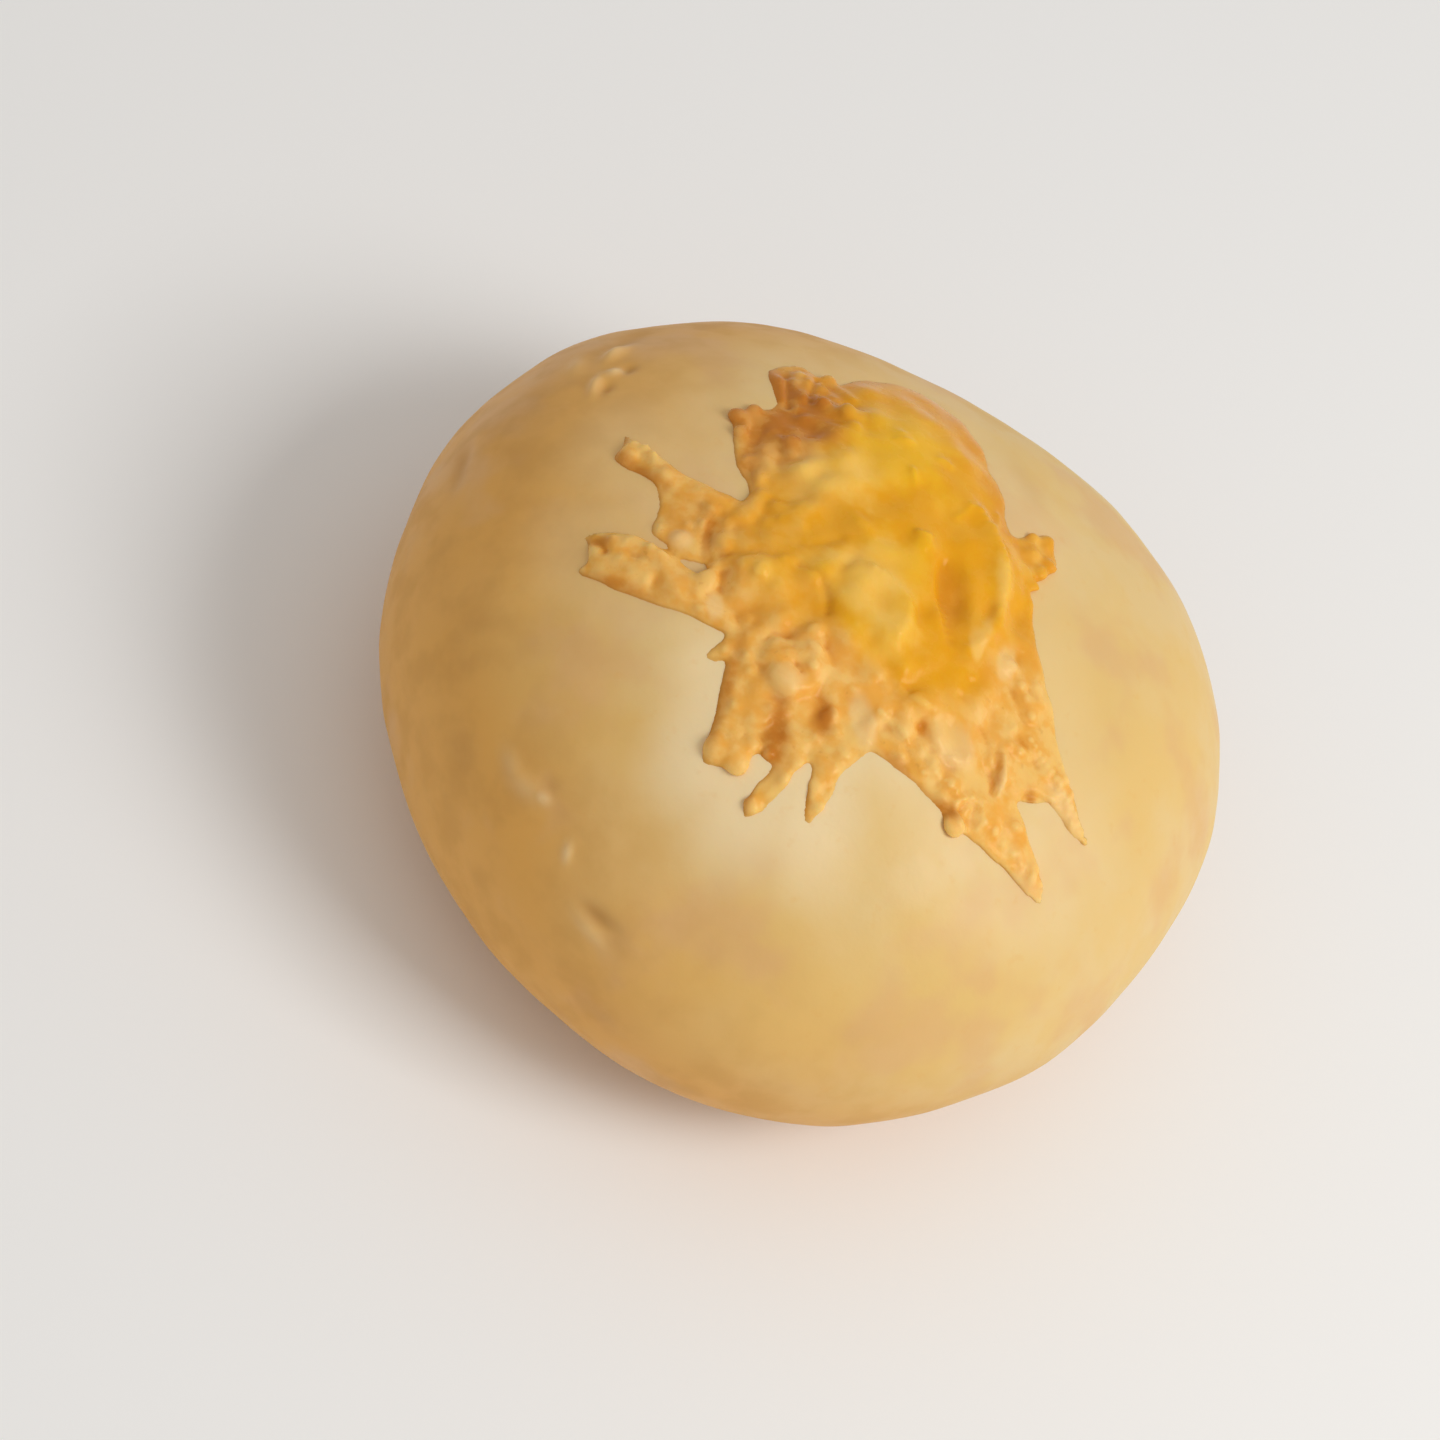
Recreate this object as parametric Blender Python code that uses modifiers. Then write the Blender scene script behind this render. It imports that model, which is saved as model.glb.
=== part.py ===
"""A round cheese roll: a soft baked bread roll with grated cheese melted over its crown.

The roll stands on its flat base, with +Z up and the origin at the middle of the base.
Two solids: the bread roll, and the melted cheese that lies on its crown and runs out into shreds.
Units are metres.
"""

import math
import random

import bmesh
import bpy
from mathutils import Matrix, Vector, noise

# Bread roll: the driving sizes
ROLL_RADIUS = 0.0472  # mean radius at the widest line
WIDEST_LINE = 0.0205  # height of the widest line above the base
CROWN_RISE = 0.0290  # from the widest line up to the crown
UNDERSIDE_DROP = 0.0240  # depth that the lower half would reach without its flat base
CROWN_ROUNDNESS = 2.1  # 2 is an ellipse, more is fuller in the shoulder
UNDERSIDE_ROUNDNESS = 2.35

# The roll is hand shaped: each wave is (lobes round the roll, height, direction of its first lobe in degrees)
OUTLINE_WAVES = ((2, 0.0010, -12.0), (3, 0.00125, 40.0), (4, 0.0003, 43.0))
SKIN_SWELL = 0.0005  # height of the broad, soft unevenness of the skin
SKIN_SWELL_SIZE = 0.016

ROLL_SEGMENTS = 68
ROLL_RINGS = 38
BASE_SNAP = 0.0005  # points this near the base's plane are set on it

# Melted cheese: the pool on the crown
POOL_RADIUS = 0.0163
# Each lobe of the pool's edge is (direction in degrees, extra reach, half width in degrees)
POOL_LOBES = (
    (108.0, 0.0126, 29.0),
    (147.0, 0.0042, 16.0),
    (-38.0, 0.0080, 25.0),
    (-86.0, 0.0040, 27.0),
    (-135.0, 0.0024, 24.0),
)
POOL_THICKNESS = 0.0023
POOL_BACK_EDGE = 0.0013  # thickness where the smooth back of the pool ends
POOL_RIM_EDGE = 0.0005  # thickness under the shreds of the front and left rim
POOL_BACK = (90.0, 68.0)  # middle and half width of the back, in degrees
POOL_SINK = 0.0014  # how far the uncut pool reaches into the crust
POOL_WAVER = 0.0009  # how far the edge strays in and out
POOL_RELIEF = 0.0004
POOL_RELIEF_SIZE = 0.0034
POOL_SEGMENTS = 96
POOL_RINGS = 48
# Each swelling is (x, y, radius, height), and a trench has a negative height
POOL_SWELLINGS = (
    (0.0012, -0.0048, 0.0052, 0.0013),
    (0.0060, 0.0036, 0.0018, -0.0016),
    (0.0082, 0.0008, 0.0019, -0.0019),
    (0.0096, -0.0024, 0.0018, -0.0014),
    (0.0108, 0.0085, 0.0026, 0.0009),
    (0.0135, 0.0010, 0.0026, 0.0008),
    (-0.0072, 0.0144, 0.0080, 0.0006),
    (-0.0100, -0.0050, 0.0034, 0.0008),
    (-0.0030, 0.0040, 0.0040, 0.0004),
)

# Grated shreds of one width lie side by side as an arm
SHRED_WIDTH = 0.0022
SHRED_SPACING = 0.0016
SHRED_STEP = 0.0009
SHRED_KNOBS = 0.26  # how far a shred's width strays, as a share
SHRED_STRAY = 0.16  # how far it strays sideways, in widths
SHRED_LIFT = 0.3  # height of its middle above what it lies on, in half widths
BEVEL_UNIT = 0.001

# Each arm is ((direction in degrees, reach) at its root, middle and tip, then its width at root and tip)
ARMS = {
    "right_hook": ((-15, 0.0176), (-19, 0.0264), (-17.8, 0.0347), 0.0078, 0.0016),
    "right_web": ((-30, 0.0160), (-29.5, 0.0228), (-26, 0.0272), 0.0086, 0.0044),
    "right_long": ((-55, 0.0172), (-42.0, 0.0266), (-31, 0.0370), 0.0082, 0.0032),
    "front_thin": ((-76, 0.0170), (-79.5, 0.0243), (-78.5, 0.0302), 0.0050, 0.0030),
    "front_middle": ((-89, 0.0170), (-90, 0.0250), (-90.4, 0.0324), 0.0050, 0.0030),
    "front_blunt": ((-109, 0.0168), (-104, 0.0236), (-101, 0.0290), 0.0064, 0.0052),
    "left_hair": ((-126, 0.0160), (-122.5, 0.0205), (-118.9, 0.0240), 0.0022, 0.0015),
    "left_club": ((-131, 0.0185), (-143, 0.0246), (-151.9, 0.0298), 0.0042, 0.0066),
    "left_patch": ((-156, 0.0165), (-163.7, 0.0212), (-167, 0.0244), 0.0050, 0.0042),
    "left_upper": ((-167, 0.0165), (-175, 0.0240), (-179, 0.0298), 0.0046, 0.0038),
    "back_left": ((166, 0.0140), (161, 0.0201), (158.5, 0.0243), 0.0054, 0.0040),
    "back_knob": ((134, 0.0170), (135, 0.0240), (134.7, 0.0284), 0.0058, 0.0042),
    "right_curl": ((48, 0.0130), (47, 0.0175), (49, 0.0216), 0.0058, 0.0048),
    "right_rim": ((14, 0.0135), (-1, 0.0188), (-11.5, 0.0250), 0.0046, 0.0032),
}
ARM_RAGGEDNESS = 0.16  # how far short of the tip a shred may end, as a share of the arm

# Beads of cheese that stand up from the arms and the rim
BEAD_SPACING = 0.0019  # distance between beads along an arm
BEAD_LENGTH = 0.0012
BEAD_WIDTHS = (0.0013, 0.0023)
BEAD_LIFT = 0.42  # in bead widths

# Short shreds that lie on the pool's rough front and left rim
RIM_SHREDS = 120
RIM_FROM, RIM_TO = -205.0, 20.0  # directions in degrees
RIM_LENGTHS = (0.0035, 0.0075)
RIM_WIDTHS = (0.0017, 0.0027)
RIM_BAND = (0.64, 1.05)  # share of the pool's reach
RIM_SCATTER = 0.65  # spread of their headings, in radians
RIM_BEND = 0.3
RIM_LIFT = 0.75  # share of the pool's thickness that a shred is lifted by
RIM_BEAD_SHARE = 0.6

SEED = 7
MELT_VOXEL = 0.00055
SMOOTHING_PASSES = 3
CHEESE_TRIANGLES = 8600
RESTING_GAP = 0.0003


def clear_scene():
    for obj in list(bpy.data.objects):
        bpy.data.objects.remove(obj)


def new_collection(name):
    collection = bpy.data.collections.new(name)
    bpy.context.scene.collection.children.link(collection)
    return collection


def material(name, colour, roughness):
    made = bpy.data.materials.new(name)
    made.use_nodes = True
    shader = made.node_tree.nodes["Principled BSDF"]
    shader.inputs["Base Color"].default_value = (*colour, 1.0)
    shader.inputs["Roughness"].default_value = roughness
    shader.inputs["Metallic"].default_value = 0.0
    made.diffuse_color = (*colour, 1.0)
    return made


def new_object(name, bm, collection, finish=None):
    mesh = bpy.data.meshes.new(name)
    bm.to_mesh(mesh)
    bm.free()
    obj = bpy.data.objects.new(name, mesh)
    collection.objects.link(obj)
    if finish:
        mesh.materials.append(finish)
    return obj


def apply_modifiers(obj):
    """The object keeps the mesh that its modifiers give, and the modifiers go."""
    graph = bpy.context.evaluated_depsgraph_get()
    finished = bpy.data.meshes.new_from_object(obj.evaluated_get(graph))
    obj.modifiers.clear()
    obj.data = finished


# Bread roll


def outline_radius(direction):
    """Reach of the roll's widest line in a direction in radians, before its swell."""
    return ROLL_RADIUS + sum(
        height * math.cos(lobes * (direction - math.radians(first)))
        for lobes, height, first in OUTLINE_WAVES
    )


def crust_height(x, y):
    """Height of the crown's skin over a point of the ground."""
    share = min(math.hypot(x, y) / outline_radius(math.atan2(y, x)), 1.0)
    rise = (1.0 - share**CROWN_ROUNDNESS) ** (1.0 / CROWN_ROUNDNESS)
    return WIDEST_LINE + CROWN_RISE * rise


def crust_normal(x, y):
    step = 0.0005
    slope_x = (crust_height(x + step, y) - crust_height(x - step, y)) / (2 * step)
    slope_y = (crust_height(x, y + step) - crust_height(x, y - step)) / (2 * step)
    return Vector((-slope_x, -slope_y, 1.0)).normalized()


def skin_swell(point):
    """Soft unevenness of the skin, outwards, at a point on it."""
    return SKIN_SWELL * noise.noise(point / SKIN_SWELL_SIZE)


def skin_point(unit):
    """Place on the roll's skin of a point on the unit sphere."""
    across = math.hypot(unit.x, unit.y)
    drop, roundness = (CROWN_RISE, CROWN_ROUNDNESS) if unit.z >= 0 else (UNDERSIDE_DROP, UNDERSIDE_ROUNDNESS)
    reach = across ** (2.0 / roundness)
    rise = math.copysign(drop * abs(unit.z) ** (2.0 / roundness), unit.z)
    direction = math.atan2(unit.y, unit.x)
    radius = outline_radius(direction) * reach
    point = Vector((radius * math.cos(direction), radius * math.sin(direction), WIDEST_LINE + rise))
    return point + unit * skin_swell(point)


def bread_roll(collection, finish):
    bm = bmesh.new()
    bmesh.ops.create_uvsphere(bm, u_segments=ROLL_SEGMENTS, v_segments=ROLL_RINGS, radius=1.0)
    for vert in bm.verts:
        vert.co = skin_point(vert.co.normalized())
        if abs(vert.co.z) < BASE_SNAP:
            vert.co.z = 0.0
    cut = bmesh.ops.bisect_plane(
        bm,
        geom=bm.verts[:] + bm.edges[:] + bm.faces[:],
        dist=0.00001,
        plane_co=(0, 0, 0),
        plane_no=(0, 0, 1),
        clear_inner=True,
    )
    rim = [part for part in cut["geom_cut"] if isinstance(part, bmesh.types.BMEdge)]
    bmesh.ops.contextual_create(bm, geom=rim)
    bmesh.ops.recalc_face_normals(bm, faces=bm.faces[:])
    return new_object("bread_roll", bm, collection, finish)


# Melted cheese


def on_crust(x, y, height):
    """The place at a height over the crown's skin."""
    return Vector((x, y, crust_height(x, y))) + crust_normal(x, y) * height


def polar(place):
    direction, reach = place
    return Vector((math.cos(math.radians(direction)), math.sin(math.radians(direction)))) * reach


def pool_reach(direction):
    """How far the pool runs from the crown's middle, in a direction in degrees."""
    reach = POOL_RADIUS
    for lobe, extra, half_width in POOL_LOBES:
        off = (direction - lobe + 180.0) % 360.0 - 180.0
        reach += extra * math.exp(-((off / half_width) ** 2))
    edge = polar((direction, reach))
    return reach + POOL_WAVER * noise.noise(Vector((edge.x, edge.y, 0.0)) / POOL_RELIEF_SIZE)


def pool_depth(x, y):
    """Thickness of the pool over the crust at a point."""
    direction = math.degrees(math.atan2(y, x))
    share = math.hypot(x, y) / pool_reach(direction)
    middle, half_width = POOL_BACK
    back = math.exp(-((((direction - middle + 180.0) % 360.0 - 180.0) / half_width) ** 4))
    edge = POOL_RIM_EDGE + (POOL_BACK_EDGE - POOL_RIM_EDGE) * back
    depth = edge + (POOL_THICKNESS - edge) * max(0.0, 1.0 - share ** (2.0 + 3.0 * back))
    for swell_x, swell_y, radius, height in POOL_SWELLINGS:
        off = math.hypot(x - swell_x, y - swell_y) / radius
        depth += height * math.exp(-(off**2))
    depth += POOL_RELIEF * noise.noise(Vector((x, y, 0.0)) / POOL_RELIEF_SIZE)
    return max(depth, POOL_RIM_EDGE)


def add_pool(bm):
    """The pool: a flat lens laid on the crust, thick in its lumps and rounded at its edge."""
    ball = bmesh.ops.create_uvsphere(bm, u_segments=POOL_SEGMENTS, v_segments=POOL_RINGS, radius=1.0)
    for vert in ball["verts"]:
        unit = vert.co.normalized()
        direction = math.degrees(math.atan2(unit.y, unit.x))
        place = polar((direction, pool_reach(direction) * math.hypot(unit.x, unit.y)))
        height = pool_depth(*place) * math.sqrt(unit.z) if unit.z > 0 else POOL_SINK * unit.z
        vert.co = on_crust(*place, height)


def along_bend(root, middle, tip, share):
    """A point on the smooth bend that passes through root, middle and tip, for a share from 0 to 1."""
    handle = middle * 2.0 - (root + tip) * 0.5
    return root * (1 - share) ** 2 + handle * 2 * share * (1 - share) + tip * share**2


def sideways(root, middle, tip, share):
    """Unit vector across the bend."""
    ahead = along_bend(root, middle, tip, share + 0.02) - along_bend(root, middle, tip, share - 0.02)
    return Vector((-ahead.y, ahead.x)).normalized()


def add_shred(curve, draw, root, middle, tip, root_width, tip_width, lift):
    """A melted shred: a tube of uneven width along a bend, part sunk in what it lies on."""
    length = (middle - root).length + (tip - middle).length
    steps = max(4, round(length / SHRED_STEP))
    spline = curve.splines.new("POLY")
    spline.points.add(steps)
    for i, point in enumerate(spline.points):
        share = i / steps
        width = (root_width + (tip_width - root_width) * share) * (1.0 + SHRED_KNOBS * draw.uniform(-1, 1))
        if i in (0, steps):
            width *= 0.6
        stray = sideways(root, middle, tip, share) * width * SHRED_STRAY * draw.uniform(-1, 1)
        place = along_bend(root, middle, tip, share) + stray
        point.co = (*on_crust(place.x, place.y, lift + width * 0.5 * SHRED_LIFT), 1.0)
        point.radius = width * 0.5 / BEVEL_UNIT


def add_arm(curve, draw, root, middle, tip, root_width, tip_width):
    """An arm: shreds side by side that end raggedly, the middle ones last."""
    count = 1 + max(0, round((max(root_width, tip_width) - SHRED_WIDTH) / SHRED_SPACING))
    middle_width = (root_width + tip_width) * 0.5
    for i in range(count):
        off = 0.0 if count == 1 else 2.0 * i / (count - 1) - 1.0
        width = min(SHRED_WIDTH, max(root_width, tip_width)) * draw.uniform(0.85, 1.15)
        bend = [
            along_bend(root, middle, tip, share)
            + sideways(root, middle, tip, share) * off * max(0.0, whole - width) * 0.5
            for share, whole in ((0.0, root_width), (0.5, middle_width), (1.0, tip_width))
        ]
        end = 1.0 - ARM_RAGGEDNESS * abs(off) * draw.uniform(0.2, 1.0)
        stop = along_bend(*bend, end)
        half_way = along_bend(*bend, end * 0.5)
        last_width = min(width, tip_width)
        add_shred(curve, draw, bend[0], half_way, stop, width, last_width, draw.uniform(-0.1, 0.3) * width)
    beads = round(((middle - root).length + (tip - middle).length) / BEAD_SPACING)
    for i in range(beads):
        share = (i + draw.uniform(0.1, 0.9)) / beads
        whole = root_width + (tip_width - root_width) * share
        off = sideways(root, middle, tip, share) * whole * draw.uniform(-0.4, 0.4)
        add_bead(curve, draw, along_bend(root, middle, tip, share) + off, min(whole, SHRED_WIDTH), 0.0)


def add_bead(curve, draw, place, widest, lift):
    """A knob of cheese on a shred."""
    heading = draw.uniform(0.0, math.pi)
    half = Vector((math.cos(heading), math.sin(heading))) * BEAD_LENGTH * 0.5
    width = min(widest, draw.uniform(*BEAD_WIDTHS))
    add_shred(curve, draw, place - half, place, place + half, width, width, lift + width * BEAD_LIFT)


def add_rim_shreds(curve, draw):
    for _ in range(RIM_SHREDS):
        direction = draw.uniform(RIM_FROM, RIM_TO)
        middle = polar((direction, pool_reach(direction) * draw.uniform(*RIM_BAND)))
        heading = math.radians(direction) + draw.gauss(0.0, RIM_SCATTER)
        half = Vector((math.cos(heading), math.sin(heading))) * draw.uniform(*RIM_LENGTHS) * 0.5
        bend = Vector((-half.y, half.x)) * draw.uniform(-RIM_BEND, RIM_BEND)
        width = draw.uniform(*RIM_WIDTHS)
        lift = (pool_depth(*middle) - POOL_RIM_EDGE) * RIM_LIFT
        add_shred(curve, draw, middle - half, middle + bend, middle + half, width, width * 0.8, lift)
        if draw.random() < RIM_BEAD_SHARE:
            add_bead(curve, draw, middle + bend, width, lift)


def shreds_mesh(draw, helpers):
    """All shreds as one mesh of closed tubes."""
    curve = bpy.data.curves.new("shreds", "CURVE")
    curve.dimensions = "3D"
    curve.bevel_depth = BEVEL_UNIT
    curve.bevel_resolution = 2
    curve.use_fill_caps = True
    for root, middle, tip, root_width, tip_width in ARMS.values():
        add_arm(curve, draw, polar(root), polar(middle), polar(tip), root_width, tip_width)
    add_rim_shreds(curve, draw)
    shreds = bpy.data.objects.new("shreds", curve)
    helpers.objects.link(shreds)
    graph = bpy.context.evaluated_depsgraph_get()
    mesh = bpy.data.meshes.new_from_object(shreds.evaluated_get(graph))
    bpy.data.objects.remove(shreds)
    return mesh


def crust_cutter(roll, helpers):
    """The roll grown by the gap that the cheese keeps to it."""
    bm = bmesh.new()
    bm.from_mesh(roll.data)
    bmesh.ops.recalc_face_normals(bm, faces=bm.faces[:])
    bm.normal_update()
    grown = [vert.co + vert.normal * RESTING_GAP for vert in bm.verts]
    for vert, place in zip(bm.verts, grown):
        vert.co = place
    cutter = new_object("crust_cutter", bm, helpers)
    cutter.hide_render = True
    cutter.display_type = "WIRE"
    return cutter


def drop_scraps(obj):
    """Leaves the largest connected piece of a mesh."""
    bm = bmesh.new()
    bm.from_mesh(obj.data)
    left, pieces = set(bm.verts), []
    while left:
        piece, edge = set(), [next(iter(left))]
        while edge:
            vert = edge.pop()
            if vert in piece:
                continue
            piece.add(vert)
            edge.extend(link.other_vert(vert) for link in vert.link_edges)
        pieces.append(piece)
        left -= piece
    pieces.sort(key=len)
    for piece in pieces[:-1]:
        bmesh.ops.delete(bm, geom=list(piece), context="VERTS")
    bm.to_mesh(obj.data)
    bm.free()


def melted_cheese(roll, collection, helpers, finish):
    bm = bmesh.new()
    bm.from_mesh(shreds_mesh(random.Random(SEED), helpers))
    bmesh.ops.remove_doubles(bm, verts=bm.verts[:], dist=0.00001)
    add_pool(bm)
    cheese = new_object("melted_cheese", bm, collection)

    melt = cheese.modifiers.new("melt", "REMESH")
    melt.mode = "VOXEL"
    melt.voxel_size = MELT_VOXEL
    soften = cheese.modifiers.new("soften", "SMOOTH")
    soften.factor = 0.5
    soften.iterations = SMOOTHING_PASSES
    apply_modifiers(cheese)

    cheese.data.calc_loop_triangles()
    thin_out = cheese.modifiers.new("thin_out", "DECIMATE")
    thin_out.ratio = CHEESE_TRIANGLES / len(cheese.data.loop_triangles)
    seat = cheese.modifiers.new("seat", "BOOLEAN")
    seat.operation = "DIFFERENCE"
    seat.solver = "EXACT"
    seat.object = crust_cutter(roll, helpers)
    apply_modifiers(cheese)
    drop_scraps(cheese)
    cheese.data.materials.clear()
    cheese.data.materials.append(finish)
    return cheese


def stand_at_origin(roll, pieces):
    """Moves the pieces so that the origin is at the middle of the base of the roll's box."""
    corners = [Vector(corner) for corner in roll.bound_box]
    low = Vector(map(min, *corners))
    high = Vector(map(max, *corners))
    middle = Vector(((low.x + high.x) / 2, (low.y + high.y) / 2, low.z))
    for piece in pieces:
        piece.data.transform(Matrix.Translation(-middle))


def main():
    clear_scene()
    parts = new_collection("cheese_roll")
    helpers = new_collection("cutters")
    crust = material("baked_crust", (0.66, 0.42, 0.16), 0.55)
    cheese = material("melted_cheese", (0.80, 0.42, 0.08), 0.40)
    roll = bread_roll(parts, crust)
    topping = melted_cheese(roll, parts, helpers, cheese)
    stand_at_origin(roll, (roll, topping))
    for piece in (roll, topping):
        piece.data.shade_smooth()
        piece.data.set_sharp_from_angle(angle=math.radians(50))


main()
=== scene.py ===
"""Looks of a round cheese roll: a golden, satiny crust under a crown of melted grated cheese.

Two pieces stand for the two solids: the baked crust, and the cheese that lies on it.
Units are metres, and millimetres in the tables that say so.
"""

import math
import random

import bmesh
import bpy
import numpy as np
from mathutils import Matrix, Vector, noise
from mathutils.bvhtree import BVHTree


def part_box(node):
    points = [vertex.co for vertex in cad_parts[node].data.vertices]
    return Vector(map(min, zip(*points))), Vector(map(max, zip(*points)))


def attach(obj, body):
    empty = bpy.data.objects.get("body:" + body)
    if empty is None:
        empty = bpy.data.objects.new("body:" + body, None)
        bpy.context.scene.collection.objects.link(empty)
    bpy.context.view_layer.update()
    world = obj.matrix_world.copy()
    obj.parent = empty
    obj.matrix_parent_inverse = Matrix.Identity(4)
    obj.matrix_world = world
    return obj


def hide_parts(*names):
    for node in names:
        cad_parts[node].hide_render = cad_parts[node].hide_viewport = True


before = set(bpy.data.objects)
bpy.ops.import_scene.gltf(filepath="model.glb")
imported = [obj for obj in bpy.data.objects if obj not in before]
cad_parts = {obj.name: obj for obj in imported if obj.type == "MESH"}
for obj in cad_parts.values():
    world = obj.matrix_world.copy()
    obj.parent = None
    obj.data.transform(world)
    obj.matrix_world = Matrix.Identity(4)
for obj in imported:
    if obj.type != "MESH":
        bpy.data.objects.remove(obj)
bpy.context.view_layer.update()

ROLL_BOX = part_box("bread_roll")
MM = 0.001
# A patch is (x, y, half length, half width, turn in degrees, strength), in millimetres

# Crust, as in the solid
ROLL_RADIUS = 0.0472
WIDEST_LINE = 0.0205
CROWN_RISE = 0.0290
UNDERSIDE_DROP = 0.0240
CROWN_ROUNDNESS = 2.1
UNDERSIDE_ROUNDNESS = 2.35
OUTLINE_WAVES = ((2, 0.001, -12.0), (3, 0.00125, 40.0), (4, 0.0003, 43.0))
SKIN_SWELL = 0.0005
SKIN_SWELL_SIZE = 0.016
SLOPE_STEP = 0.0005

# Crust, finer. Its ball has coarse segments and rings, each cut in four.
CRUST_SEGMENTS = 100
CRUST_RINGS = 52
FINE_CUTS = 3
BASE_EDGE_ROUND = 0.0007
# Each layer of soft unevenness is (size, height)
SKIN_LAYERS = ((0.0110, 0.00022), (0.0075, 0.00016), (0.0028, 0.00004))
# Fine creases run round the roll just above its base
CREASE_TOP = 0.0125
CREASE_SPACING = 0.0011
CREASE_DEPTH = 0.00009
CREASE_FULL = 0.35  # they are full under this share of their top
CREASE_START = (0.0008, 0.003)
CREASE_WANDER = (0.012, 1.6)  # size, and reach in spacings
CREASE_BREAKS = (0.006, -0.15, 0.35)  # size, and the noise where they end and are full
# Each mark is (direction in degrees, share of the outline's reach, half length, half width,
# turn in degrees, height, shade), on the upper half, with lengths in millimetres. A dent has a
# negative height. Shade is how dark the mark is painted, and is negative where it is painted
# paler: baked brown on the broad patches, painted shade in the dents and pits, and a painted
# highlight on the raised lips and crumbs.
CRUST_MARKS = (
    (-98.4, 0.949, 2.4, 1, 4, -0.5, 1),
    (-98, 0.964, 2.7, 0.9, -12, 0.24, -0.4),
    (-121.8, 0.911, 2, 1.1, -10, 0.26, -0.4),
    (-118, 0.911, 2.4, 1.2, 16, 0.3, -0.45),
    (-115, 0.899, 0.9, 0.7, 20, 0.22, -0.85),
    (-107, 0.92, 1.1, 0.6, -62, 0.26, -0.8),
    (-95, 0.962, 2, 1.4, 0, -0.2, 0.4),
    (-174, 0.935, 3.4, 1.2, 8, -0.4, 0.85),
    (178, 0.85, 7.5, 3, 20, 0.1, 0.42),
    (-144, 0.87, 4.4, 1.3, 70, -0.16, 0.4),
    (-140, 0.92, 3, 2, 20, -0.1, 0.3),
    (-129, 0.965, 3.2, 2.2, 0, -0.18, 0.45),
    (-116, 0.88, 1.2, 1, 0, -0.18, 0.35),
    (161.5, 0.753, 1, 0.8, 0, -0.45, 0.85),
    (167.8, 0.75, 1, 0.8, 0, -0.4, 0.8),
    (158.7, 0.816, 1.9, 0.9, 15, 0.75, -0.8),
    (163.4, 0.766, 1, 0.7, -30, 0.45, -1),
    (168, 0.771, 1.8, 0.7, 25, 0.6, -0.55),
    (164.6, 0.846, 2.2, 1, 40, 0.3, -0.35),
    (154, 0.85, 3, 1.2, 10, -0.2, 0.45),
    (73, 0.56, 4, 1.8, -30, -0.06, 0.25),
)
BROWN_SHARE = 0.60  # of its colour, the share that a fully dark mark takes on: baked brown, or painted shade in a dent
PALE_SHARE = 0.55
# Round a narrow mark the faces are cut finer. Reach and edge are sizes on the unit ball.
FINE_MARK_WIDTH = 1.3 * MM
FINE_MARK_REACH = 0.11
FINE_MARK_CUTS = 2
FINE_MARK_EDGE = 0.008  # shorter edges are fine enough

# Cheese pool: the solid's, with its edge and relief nearer to the photo's.
# A lobe is (direction in degrees, reach, half width in degrees).
POOL_RADIUS = 0.0163
POOL_LOBES = (
    (108, 0.014, 31),
    (147, 0.0042, 16),
    (-38, 0.008, 25),
    (-86, 0.004, 27),
    (-135, 0.0024, 24),
)
POOL_THICKNESS = 0.0023
POOL_BACK_EDGE = 0.0008
POOL_RIM_EDGE = 0.0005
POOL_BACK = (72.0, 60.0)  # direction and half width of its smooth back, in degrees
POOL_SINK = 0.0014
POOL_WAVER = 0.0009
POOL_RELIEF = 0.0004
POOL_RELIEF_SIZE = 0.0034
# Swellings and hollows are patches whose strength is a height in millimetres
POOL_SWELLINGS = (
    (1.6, -6.8, 4.8, 3.3, -28, 0.6),
    (7.1, 0.4, 4.3, 1.6, -58, -1.6),
    (9.9, 8.4, 5.6, 2.6, -46, 0.7),
    (-7.2, 14.4, 8.5, 7, 0, 0.6),
    (-10.6, -10.8, 3.1, 2.8, 0, 0.7),
    (-6.6, -6, 2.9, 2.3, -30, 0.5),
    (-3, -17.6, 2.9, 2.6, 0, 1),
)

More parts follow.
